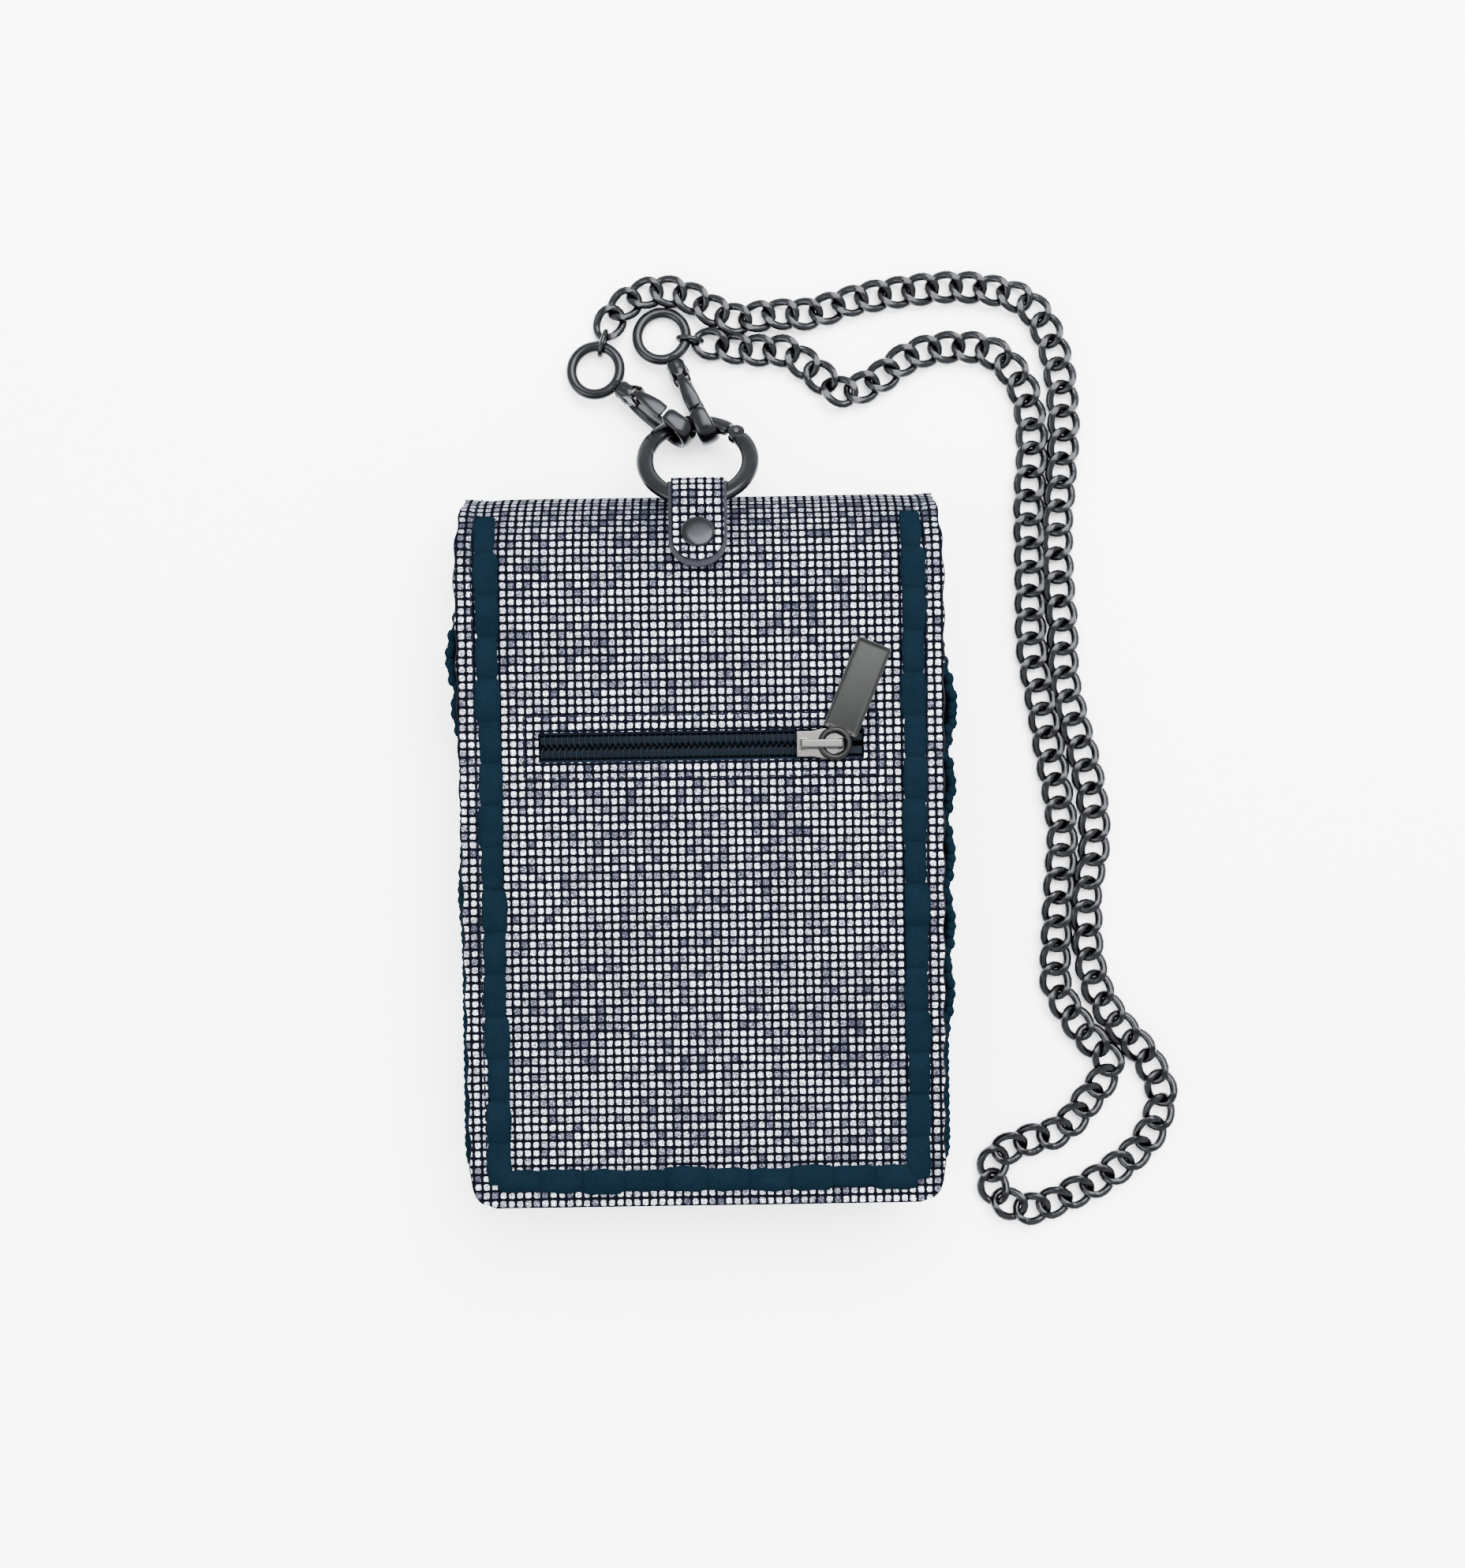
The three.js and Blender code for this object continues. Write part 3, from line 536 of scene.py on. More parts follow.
# the chain
chain = {
    "link": {"wire": 0.00098, "halfLong": 0.0040, "halfWide": 0.0030, "twist": 0.00088, "flat": 0.00160},
    "ender": {"wire": 0.0007, "halfLong": 0.00305, "halfWide": 0.0020, "twist": 0.0, "flat": 0.002},
    "enderOut": 0.00715, "enderZ": 0.0029,  # the last link's middle, out from the eye and over the table
    "first": 0.0045,  # from the eye to the first full link's middle
    "pitch": 0.0060, "width": 0.008, "z": 0.0021, "shiftY": -0.0054,
    "roll": 9, "yaw": 5, "lift": (-0.0001, 0.0003),  # how far single links lie off true
    "route": [
        (-0.0232, 0.108), (-0.0214, 0.113), (-0.0173, 0.1174), (-0.0105, 0.1203), (-0.003, 0.1193),
        (0.003, 0.1158), (0.010, 0.1128), (0.019, 0.114), (0.029, 0.114), (0.039, 0.117), (0.051, 0.119),
        (0.065, 0.120), (0.075, 0.119), (0.083, 0.116), (0.088, 0.109), (0.091, 0.099), (0.092, 0.084),
        (0.091, 0.070), (0.090, 0.059), (0.090, 0.047), (0.091, 0.032), (0.091, 0.023), (0.093, 0.012),
        (0.096, 0.0), (0.098, -0.012), (0.098, -0.022), (0.096, -0.033), (0.097, -0.053), (0.102, -0.064),
        (0.110, -0.074), (0.114, -0.084), (0.110, -0.095), (0.101, -0.103), (0.092, -0.108), (0.080, -0.112),
        (0.072, -0.108), (0.072, -0.099), (0.080, -0.095), (0.089, -0.092), (0.096, -0.084), (0.101, -0.076),
        (0.094, -0.067), (0.088, -0.056), (0.088, -0.046), (0.089, -0.032), (0.090, -0.018), (0.089, -0.008),
        (0.087, 0.004), (0.085, 0.017), (0.083, 0.030), (0.083, 0.047), (0.083, 0.067), (0.084, 0.080),
        (0.082, 0.094), (0.075, 0.103), (0.065, 0.105), (0.054, 0.103), (0.045, 0.097), (0.037, 0.094),
        (0.030, 0.099), (0.023, 0.1043), (0.013, 0.105), (0.005, 0.1065), (-0.0009, 0.1076),
    ],
}


def smoothRoute(points, steps):  # a centripetal curve through every point
    ends = [points[0] * 2 - points[1]] + points + [points[-1] * 2 - points[-2]]
    route = []
    for a, b, c, d in zip(ends, ends[1:], ends[2:], ends[3:]):
        d0, d1, d2 = [(q - p).length ** 0.5 for p, q in ((a, b), (b, c), (c, d))]
        leave = ((b - a) / d0 - (c - a) / (d0 + d1) + (c - b) / d1) * d1
        arrive = ((c - b) / d1 - (d - b) / (d1 + d2) + (d - c) / d2) * d1
        for i in range(steps):
            t = i / steps
            route.append(b * (2 * t**3 - 3 * t**2 + 1) + c * (3 * t**2 - 2 * t**3)
                         + leave * (t**3 - 2 * t**2 + t) + arrive * (t**3 - t**2))
    return route + [points[-1]]


class Walk:  # places at even steps along a route
    def __init__(self, route):
        self.route = route
        self.reach = [0.0]
        for a, b in zip(route, route[1:]):
            self.reach.append(self.reach[-1] + (b - a).length)
        self.length = self.reach[-1]

    def at(self, distance):
        distance = min(max(distance, 0.0), self.length)
        i = next((i for i, r in enumerate(self.reach[1:]) if r >= distance), len(self.route) - 2)
        share = (distance - self.reach[i]) / max(self.reach[i + 1] - self.reach[i], 1e-9)
        return self.route[i].lerp(self.route[i + 1], share)

    def heading(self, distance):
        return (self.at(distance + 0.0015) - self.at(distance - 0.0015)).normalized()


def frameOf(place, forward, up=Vector((0, 0, 1))):
    side = up.cross(forward).normalized()
    top = forward.cross(side)
    return Matrix.Translation(place) @ Matrix((forward, side, top)).transposed().to_4x4()


def chainLink(name, size):
    link = added(name, bpy.ops.mesh.primitive_torus_add, major_segments=20, minor_segments=8,
                 major_radius=size["halfWide"], minor_radius=size["wire"])
    for vertex in link.data.vertices:
        turn = math.atan2(vertex.co.y, vertex.co.x)
        radius = math.hypot(vertex.co.x, vertex.co.y)
        vertex.co.x += (size["halfLong"] - size["halfWide"]) * math.cos(turn)
        vertex.co.y += 0.0002 * math.sin(turn) * abs(math.sin(turn)) * radius / size["halfWide"]
        vertex.co.z += size["twist"] * math.sin(2 * turn)
        vertex.co.z = max(-size["flat"], min(size["flat"], vertex.co.z))
    return link


def makeChain():
    points = [Vector((x, y + chain["shiftY"], chain["z"])) for x, y in chain["route"]]
    walk = Walk(smoothRoute(points, 8))
    first = chain["first"]
    count = round((walk.length - 2 * first) / chain["pitch"])
    places = []
    for i in range(count + 1):
        distance = first + (walk.length - 2 * first) * i / count
        roll = spun(random.uniform(-chain["roll"], chain["roll"]), "X")
        yaw = spun(random.uniform(-chain["yaw"], chain["yaw"]), "Z")
        lift = Vector((0, 0, random.uniform(*chain["lift"])))
        places.append(frameOf(walk.at(distance) + lift, walk.heading(distance)) @ yaw @ roll)
    strand = copies("chainStrand", chainLink("link", chain["link"]), places)
    enders = []
    for side, distance in (("left", 0.0), ("right", walk.length)):
        eye = Vector(joints[f"swivel_{side}_turn"]["pos_m"])
        outward = walk.at(distance) - eye
        outward.z = 0
        outward.normalize()
        middle = eye + outward * chain["enderOut"]
        middle.z = chain["enderZ"]
        ender = chainLink("ender", chain["ender"])
        ender.data.transform(frameOf(middle, outward) @ spun(90, "X"))
        enders.append(ender)
    piece = joined("chainStrap", [strand] + enders)
    smooth(piece, 50)
    finished(piece, chainMetal, "chain_gunmetal", None, "chain")
    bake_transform(piece)
    print("chain: %d links, %.3f m" % (count + 1, walk.length))


makeChain()


# the pouch's leather, one sheet over the top and down to the flap
low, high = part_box("back_panel")
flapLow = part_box("flap_leather")[0]
pouch = {
    "nose": 0.020, "fold": 0.005,  # the bends at the top and at the flap
    "corner": 0.006, "flapCorner": 0.014, "taper": 0.002, "waist": 0.0011, "thick": 0.0009, "edge": 0.0007,
    "lacing": 0.0064, "stitch": 0.0038, "pitch": 0.010,  # lines in from the edge, and the lacing's step
    "seamX": 0.0425, "seamY": 0.00745, "zipX": 0.0393, "zipY": 0.0036,  # the seam round the zip, and its slot
    "window": 0.0040, "flapWindow": 0.012,  # the lining's edge is left out further in than this
    "across": 96, "along": 210,
}
topZ = high.z
bottomY = low.y
noseY = high.y - pouch["nose"]
foldZ = topZ - pouch["nose"]
foldY = noseY + pouch["nose"] - pouch["fold"]
flatLength = noseY - bottomY
noseEnd = flatLength + pouch["nose"] * math.pi / 2
foldEnd = noseEnd + pouch["fold"] * math.pi / 2
sheetLength = foldEnd + foldY - flapLow.y
zipLow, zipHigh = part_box("zip_coil_lower")[0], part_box("zip_coil_upper")[1]
zipMiddle = (zipLow.y + zipHigh.y) / 2


def overTop(v, lift):  # Y and Z of a place v up the sheet from its bottom edge
    if v <= flatLength:
        return bottomY + v, topZ + lift
    if v <= noseEnd:
        turn = (v - flatLength) / pouch["nose"]
        reach = pouch["nose"] + lift
        return noseY + reach * math.sin(turn), foldZ + reach * math.cos(turn)
    if v <= foldEnd:
        turn = math.pi / 2 + (v - noseEnd) / pouch["fold"]
        reach = pouch["fold"] + lift
        return foldY + reach * math.sin(turn), foldZ + reach * math.cos(turn)
    return foldY - (v - foldEnd), foldZ - pouch["fold"] - lift


def rounding(distance, radius):
    if distance >= radius:
        return 0.0
    return radius - math.sqrt(max(0.0, radius**2 - (radius - distance) ** 2))


def halfAt(v):
    half = high.x - pouch["taper"] * max(0.0, 1 - v / flatLength)
    half -= rounding(v, pouch["corner"]) + rounding(sheetLength - v, pouch["flapCorner"])
    return half - pouch["waist"] * min(1.0, max(0.0, (v - flatLength) / 0.03))


def bell(distance, width):
    return math.exp(-((distance / width) ** 2))


def pucker(x, v):  # how the lacing and the seams pull the leather in and out
    fromEdge = min(halfAt(v) - abs(x), v)
    wave = math.cos(2 * math.pi * v / pouch["pitch"])
    lift = -0.00025 * bell(fromEdge - pouch["lacing"], 0.0022) * (0.6 + 0.4 * wave)
    lift -= 0.00016 * bell(fromEdge - pouch["stitch"], 0.0007)
    lift += 0.00030 * wave * max(0.0, 1 - fromEdge / 0.0035) * (1.0 if v < noseEnd else 0.2)
    y = bottomY + v
    seam = max(abs(x) - pouch["seamX"], abs(y - zipMiddle) - pouch["seamY"])
    lift -= 0.00032 * bell(seam, 0.0008)
    if seam < 0:
        lift += 0.00028 * math.sin(math.pi * min(1.0, -seam / 0.0038)) * (1 + 0.4 * math.sin(x * 900))
    else:
        lift += 0.00022 * bell(seam - 0.003, 0.002) * math.sin(x * 520 + 1.3)
    calm = 1.0 if v < foldEnd else 0.25
    return lift + 0.00045 * calm * noise.noise(Vector((x * 28, v * 22, 3.1)))


def onSheet(x, v, lift=0.0):
    y, z = overTop(v, lift + pucker(x, v))
    return Vector((x, y, z))


def leatherSheet(name, outset=0.0, depth=0.0):
    def flat(u, v):
        return Vector(((u - 0.5) * 2 * high.x, v * sheetLength, 0)), (0, 0)

    piece = gridPiece(name, pouch["across"], pouch["along"], flat)
    zipX, zipY = pouch["zipX"], pouch["zipY"]
    middle = zipMiddle - bottomY
    editAll(piece)
    for point, normal in (((zipX, 0, 0), (1, 0, 0)), ((-zipX, 0, 0), (1, 0, 0)),
                          ((0, middle - zipY, 0), (0, 1, 0)), ((0, middle + zipY, 0), (0, 1, 0))):
        bpy.ops.mesh.select_all(action="SELECT")
        bpy.ops.mesh.bisect(plane_co=point, plane_no=normal)
    editDone()

    def spare(face):
        x, v = abs(face.center.x), face.center.y
        if outset:
            return x < halfAt(v) - pouch["window"] and pouch["window"] < v < sheetLength - pouch["flapWindow"]
        return x < zipX and abs(v - middle) < zipY

    editFaces(piece, spare)
    bpy.ops.mesh.delete(type="FACE")
    editDone()
    spots = []
    for vertex in piece.data.vertices:
        v = vertex.co.y
        share = vertex.co.x / high.x
        half = halfAt(v)
        nearEdge = max(0.0, abs(share) * 6 - 5)
        scallop = 0.00022 * math.cos(2 * math.pi * v / pouch["pitch"]) * nearEdge * (v < noseEnd)
        x = share * (half + outset + scallop)
        inX = max(-half, min(half, x))
        vertex.co = onSheet(inX, v, -depth) + Vector((x - inX, 0, 0))
        spots.append((x, v))
    return layCloth(piece, spots)


def makeLeather():
    panel = leatherSheet("glitterLeather")
    panel.data.materials.append(glitter)
    panel.data.materials.append(backing)
    modify(panel, "SOLIDIFY", thickness=pouch["thick"], offset=-1, material_offset=1, material_offset_rim=1)
    smooth(panel, 50)
    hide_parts("back_panel", "flap_leather")
    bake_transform(panel)
    edge = leatherSheet("liningEdge", outset=0.0004, depth=pouch["thick"] + 0.00005)
    modify(edge, "SOLIDIFY", thickness=pouch["edge"], offset=-1)
    smooth(edge, 50)
    finished(edge, backing, "black_lining", None)
    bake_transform(edge)
    print("leather made")


makeLeather()


def stitchRow(name, spots, length, thick):  # spots are (x, v, angle on the sheet)
    pattern = added("stitch", bpy.ops.mesh.primitive_uv_sphere_add, segments=8, ring_count=6, radius=1)
    pattern.scale = (length / 2, thick, thick)
    settle(pattern)
    places = []
    for x, v, angle in spots:
        place = onSheet(x, v, thick * 0.25)
        up = (onSheet(x, v + 0.0005) - onSheet(x, v - 0.0005)).normalized()
        forward = (Vector((1, 0, 0)) * math.cos(angle) + up * math.sin(angle)).normalized()
        normal = Vector((1, 0, 0)).cross(up)
        places.append(frameOf(place, forward, normal))
    return smooth(copies(name, pattern, places))


def evenSteps(start, stop, step):
    count = max(1, round(abs(stop - start) / step))
    return [start + (stop - start) * (i + 0.5) / count for i in range(count)]


def makeSeams():
    seams = {"step": 0.0031, "zipStep": 0.0027, "endStep": 0.0025, "long": 0.0029, "thick": 0.00026,
             "clear": 0.008}
    upright = math.pi / 2
    seamX, seamY, inset = pouch["seamX"], pouch["seamY"], pouch["stitch"]
    spots = []
    for v in evenSteps(seams["clear"], noseEnd - 0.002, seams["step"]):
        spots += [(side * (halfAt(v) - inset), v, upright) for side in (-1, 1)]
    reach = halfAt(seams["clear"]) - seams["clear"]
    spots += [(x, inset, 0.0) for x in evenSteps(-reach, reach, seams["step"])]
    middle = zipMiddle - bottomY
    ends = evenSteps(middle - seamY, middle + seamY, seams["endStep"])
    for side in (-1, 1):
        spots += [(x, middle + side * seamY, 0.0) for x in evenSteps(-seamX, seamX, seams["zipStep"])]
        spots += [(side * seamX, v, upright) for v in ends]
    stitches = stitchRow("topStitching", spots, seams["long"], seams["thick"])
    finished(stitches, thread, "crochet_yarn", "root")
    print("seams made: %d stitches" % len(spots))


makeSeams()


# yarn: lacing, crochet gusset and front
lacing = {
    "pinch": 0.0025, "full": 0.0031, "low": 0.0009, "high": 0.0021,  # half widths and heights of a stitch
    "side": 0.0512, "lean": 0.0010, "foot": 0.0056, "topTurn": 42, "bottomIn": 0.0012, "bottomUp": 0.0063,
    "sideStitches": 16, "bottomStitches": 10, "perStitch": 12, "around": 16,
    "uneven": 0.09, "crease": 0.10, "wobble": 0.00025, "seat": 0.42,
}


def lacingRun(name, path, total, stitches):  # path gives x and v at a share of the way
    rings = []
    count = stitches * lacing["perStitch"]
    seat = lacing["seat"]  # the share of the height that lies under the yarn's middle
    for i in range(count + 1):
        share = i / count
        puff = abs(math.sin(math.pi * share * stitches)) ** 0.55
        number = min(stitches - 1, int(share * stitches))
        uneven = 1 + lacing["uneven"] * math.sin(number * 2.4 + total * 40)
        wide = (lacing["pinch"] + (lacing["full"] - lacing["pinch"]) * puff) * uneven
        tall = lacing["low"] + (lacing["high"] - lacing["low"]) * puff
        x, v = path(share)
        ahead = path(min(1.0, share + 0.002))
        behind = path(max(0.0, share - 0.002))
        run = Vector((ahead[0] - behind[0], ahead[1] - behind[1])).normalized()
        ring = []
        for angle in turns(lacing["around"]):
            crease = 1 - lacing["crease"] * abs(math.sin(1.5 * angle + 5 * share * stitches)) * puff
            off = wide * math.cos(angle) * crease
            up = math.sin(angle)
            rise = tall * (seat + (1 - seat) * up * crease) if up > 0 else tall * seat * (1 + up)
            wobble = lacing["wobble"] * math.sin(number * 1.7 + 1)
            ring.append(onSheet(x - run.y * (off + wobble), v + run.x * (off + wobble), rise - 0.0001))
        rings.append(ring)
    return sweep(name, rings)


def makeLacing():
    foot = lacing["foot"]
    top = flatLength + pouch["nose"] * math.radians(lacing["topTurn"])
    for side, name in ((-1, "lacing_left"), (1, "lacing_right")):
        def path(share, side=side):
            lean = lacing["lean"] * (1 - share) * (1.7 if side < 0 else 0.6)
            return side * (lacing["side"] - lean), foot + (top - foot) * share

        run = lacingRun(name + "Yarn", path, top - foot, lacing["sideStitches"])
        finished(run, yarn, "crochet_yarn", "root", name)
    reach = lacing["side"] - lacing["bottomIn"]

    def bottomPath(share):
        return -reach + 2 * reach * share, lacing["bottomUp"]

    run = lacingRun("lacing_bottomYarn", bottomPath, 2 * reach, lacing["bottomStitches"])
    finished(run, yarn, "crochet_yarn", "root", "lacing_bottom")
    print("lacing made")


makeLacing()


crochet = {
    "inset": 0.0031, "corner": 0.0118, "pitch": 0.0041, "rows": 5, "rowStep": 0.00315, "rowStart": 0.0016,
    "loop": (0.0016, 0.0013, 0.0024), "spread": 0.0009, "lean": 27, "stray": 5,  # two loops to a stitch
    "frontCorner": 0.006, "frontEdge": 0.0018, "rimTop": -0.010,
    "rightBulges": ((0.0085, 0.0100, 0.0034), (-0.0100, 0.0080, 0.0028), (-0.0270, 0.0085, 0.0024),
                    (-0.0440, 0.0080, 0.0022), (-0.0600, 0.0070, 0.0018)),  # middle, reach and height
    "leftBulges": ((0.0220, 0.0085, 0.0030), (0.0100, 0.0060, 0.0018), (-0.0350, 0.0070, 0.0008)),
}


def bandPath(half, bottom, top, radius):  # round the pouch from the right side's top to the left side's top
    points = []
    for x, y, start in ((half - radius, bottom + radius, 0), (-half + radius, bottom + radius, -90)):
        for i in range(9):
            angle = math.radians(start - 90 * i / 8)
            points.append(Vector((x + radius * math.cos(angle), y + radius * math.sin(angle), 0)))
    return Walk([Vector((half, top, 0))] + points + [Vector((-half, top, 0))])


def bulge(x, y):  # where the gusset swells out past the pouch's sides
    spots = crochet["rightBulges"] if x > 0 else crochet["leftBulges"]
    return max(height * bell(y - middle, reach) for middle, reach, height in spots)


def crochetRows(name, walk, heights, puffOut):
    loop = added("loop", bpy.ops.mesh.primitive_uv_sphere_add, segments=8, ring_count=7, radius=1)
    for vertex in loop.data.vertices:  # a drop, fuller at its top
        vertex.co.x *= 1.0 + 0.35 * vertex.co.z
        vertex.co.y *= 1.0 + 0.25 * vertex.co.z
    loop.scale = crochet["loop"]
    settle(loop)
    places = []
    count = round(walk.length / crochet["pitch"])
    stray = crochet["stray"]
    for row, z in enumerate(heights):
        for i in range(count):
            distance = walk.length * (i + 0.5 + 0.35 * (row % 2)) / count
            if distance > walk.length - 0.001:
                continue
            forward = walk.heading(distance)
            outward = Vector((forward.y, -forward.x, 0)) * -1
            spot = walk.at(distance)
            swell = puffOut * bulge(spot.x, spot.y) * (0.35 + 0.65 * (row + 1) / len(heights))
            for lean in (-1, 1):
                away = spot + outward * swell + forward * lean * crochet["spread"]
                away.z = z + random.uniform(-0.0001, 0.0001)
                tilt = lean * crochet["lean"] + random.uniform(-stray, stray)
                places.append(frameOf(away, forward) @ spun(tilt, "Y"))
    return smooth(copies(name, loop, places))


def makeCrochet():
    gussetLow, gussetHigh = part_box("crochet_gusset")
    inset = crochet["inset"]
    walk = bandPath(gussetHigh.x - inset, gussetLow.y + inset, gussetHigh.y, crochet["corner"])
    rows = [gussetLow.z + crochet["rowStart"] + crochet["rowStep"] * i for i in range(crochet["rows"])]
    band = edgedCopy("gussetBand", "crochet_gusset", 0)
    for vertex in band.data.vertices:  # the plain band goes in under the stitches
        vertex.co.x *= (gussetHigh.x - inset) / gussetHigh.x
        vertex.co.y = gussetHigh.y + (vertex.co.y - gussetHigh.y) * (1 - inset / (gussetHigh.y - gussetLow.y))
    stitches = crochetRows("gussetStitches", walk, rows, 1.0)
    finished(joined("crochetGusset", [band, stitches]), yarn, "crochet_yarn", "root", "crochet_gusset")
    frontLow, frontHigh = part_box("crochet_front")
    bottom = frontLow.y + 0.0003
    lowWalk = bandPath(frontHigh.x, bottom, crochet["rimTop"], crochet["frontCorner"])
    highWalk = bandPath(frontHigh.x, bottom, frontHigh.y - 0.001, crochet["frontCorner"])
    front = edgedCopy("frontPanel", "crochet_front", 0.0004)
    lower = crochetRows("frontRimLow", lowWalk, [frontLow.z + crochet["frontEdge"] + 0.0006], 0.0)
    upper = crochetRows("frontRimHigh", highWalk, [frontHigh.z - crochet["frontEdge"] + 0.0002], 0.0)
    finished(joined("crochetFront", [front, lower, upper]), yarn, "crochet_yarn", "root", "crochet_front")
    print("crochet made")


makeCrochet()


# zip
def makeZip():
    teeth = {"pitch": 0.0014, "long": 0.00162, "thick": 0.00030, "tall": 0.00065, "curl": 0.00045, "lean": 9,
             "core": (0.0776, 0.0020, 0.0008), "coreUp": 0.0005, "overlap": 0.00025}
    for name, side in (("zip_coil_upper", 1), ("zip_coil_lower", -1)):
        lowCoil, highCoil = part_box(name)
        middleY = (lowCoil.y + highCoil.y) / 2
        tooth = added("tooth", bpy.ops.mesh.primitive_uv_sphere_add, segments=8, ring_count=8, radius=1)
        tooth.scale = (teeth["thick"], teeth["long"], teeth["tall"])
        settle(tooth)
        for vertex in tooth.data.vertices:  # each loop curves round towards the slider
            vertex.co.x += teeth["curl"] * (vertex.co.y * side / teeth["long"]) ** 2
        middle = Vector((0, middleY - side * teeth["overlap"], highCoil.z - teeth["tall"]))
        shift = 0.25 * teeth["pitch"] * side
        lean = spun(teeth["lean"] * side, "Z")
        places = [Matrix.Translation(middle + Vector((x + shift, 0, 0))) @ lean
                  for x in evenSteps(lowCoil.x, highCoil.x, teeth["pitch"])]
        row = smooth(copies(name + "Loops", tooth, places))
        core = added("core", bpy.ops.mesh.primitive_cube_add, size=1)
        core.dimensions = teeth["core"]
        core.location = (0, middleY, lowCoil.z + teeth["coreUp"])
        settle(core)
        modify(core, "BEVEL", width=0.0003, segments=2)
        row.data.materials.append(nylon)
        core.data.materials.append(nylonCore)
        both = joined(name + "Row", [row, core])
        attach(both, "root")
        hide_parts(name)
    slider = castCopy("zipSlider", "zip_slider", 0.00016, 3, 0.6)
    finished(slider, nickel, "bright_nickel", "slider", "zip_slider")
    print("zip made")


def makePull():
    pull = {"half": 0.0043, "start": 0.0029, "end": 0.0258, "lean": -22.6, "thick": 0.0013,
            "steps": ((0.0008, -0.00045), (0.0006, 0.00010)),  # the sunk face: how far in, how far up
            "loop": 0.0033, "wire": 0.00078, "neck": (0.0022, 0.0028, 0.0016)}
    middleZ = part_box("zip_pull")[0].z + pull["thick"] / 2
    joint = Vector(joints["pull_swing"]["pos_m"])
    plate = added("pullPlate", bpy.ops.mesh.primitive_cube_add, size=1)
    plate.dimensions = (2 * pull["half"], pull["end"] - pull["start"], pull["thick"])
    plate.location = (0, (pull["end"] + pull["start"]) / 2, middleZ)
    settle(plate)
    editFaces(plate, lambda face: face.normal.z > 0.9)
    for inset, rise in pull["steps"]:
        bpy.ops.mesh.inset(thickness=inset)
        bpy.ops.transform.translate(value=(0, 0, rise))
    editDone()
    bevel(plate, 0.00034, 3, 25)
    loop = added("pullLoop", bpy.ops.mesh.primitive_torus_add, major_segments=48, minor_segments=12,
                 major_radius=pull["loop"], minor_radius=pull["wire"], location=(0, 0, middleZ))
    pieces = [plate, settle(loop)]
    neckX, neckY, neckLong = pull["neck"]
    for side in (-1, 1):
        neck = added("neck", bpy.ops.mesh.primitive_cylinder_add, vertices=16, radius=pull["wire"],
                     depth=neckLong, location=(side * neckX, neckY, middleZ), rotation=(math.pi / 2, 0, 0))
        pieces.append(settle(neck))
    piece = joined("zipPull", pieces)
    piece.data.transform(Matrix.Translation((joint.x, joint.y, 0)) @ spun(pull["lean"], "Z"))
    finished(smooth(piece, 40), plateMetal, "gunmetal", "pull", "zip_pull")
    print("pull made")


makeZip()
makePull()


# tab and rivet
tab = {
    "lower": 0.02175, "foldHalf": 0.00225, "foldAngle": 52.5, "rise": 29, "thick": 0.0006, "gap": 0.00025,
    "wide": 0.0062, "end": 4.5, "underWide": 0.0070, "underEnd": 0.5,  # the lining shows past the leather
    "rivetTurn": -21, "rivetRadius": 0.004, "rivetHigh": 0.00095, "rivetLip": 0.0003,
}


def onNose(radius, degrees):
    angle = math.radians(degrees)
    return Vector((0, noseY + radius * math.sin(angle), foldZ + radius * math.cos(angle)))


def tabLine(offset, end):  # the middle of one layer: up the top fold, round the ring's wire and back
    middle = tab["lower"] + tab["foldHalf"]
    line = [onNose(tab["lower"] - offset, end + (49.5 - end) * i / 12) for i in range(13)]
    hub = onNose(middle, tab["foldAngle"])
    radius = tab["foldHalf"] + offset
    for i in range(1, 12):
        angle = math.radians(tab["foldAngle"]) + math.pi * (1 - i / 12)
        line.append(hub + Vector((0, radius * math.sin(angle), radius * math.cos(angle))))
    for dip, degrees in ((0, 49.5), (0.0004, 44.5), (0.0016, 37.5)):
        line.append(onNose(middle + radius - dip, degrees))
    upper = tab["lower"] + tab["gap"] + offset
    line += [onNose(upper, tab["rise"] + (end - tab["rise"]) * i / 8) for i in range(9)]
    return line


def tabLayer(name, offset, half, end):
    walk = Walk(smoothRoute(tabLine(offset, end), 4))

    def shape(u, v):
        distance = v * walk.length
        place = walk.at(distance)
        left = min(distance, walk.length - distance)
        wide = half - rounding(left, half * 0.94)
        ears = 1 + 0.05 * bell(distance / walk.length - 0.5, 0.05)
        x = (u - 0.5) * 2 * wide * ears
        crown = -0.00010 * (x / half) ** 2
        heading = walk.heading(distance)
        outward = Vector((0, -heading.z, heading.y))
        return place + Vector((x, 0, 0)) - outward * crown, (x + 0.0002, distance)

    return gridPiece(name, 14, 110, shape)


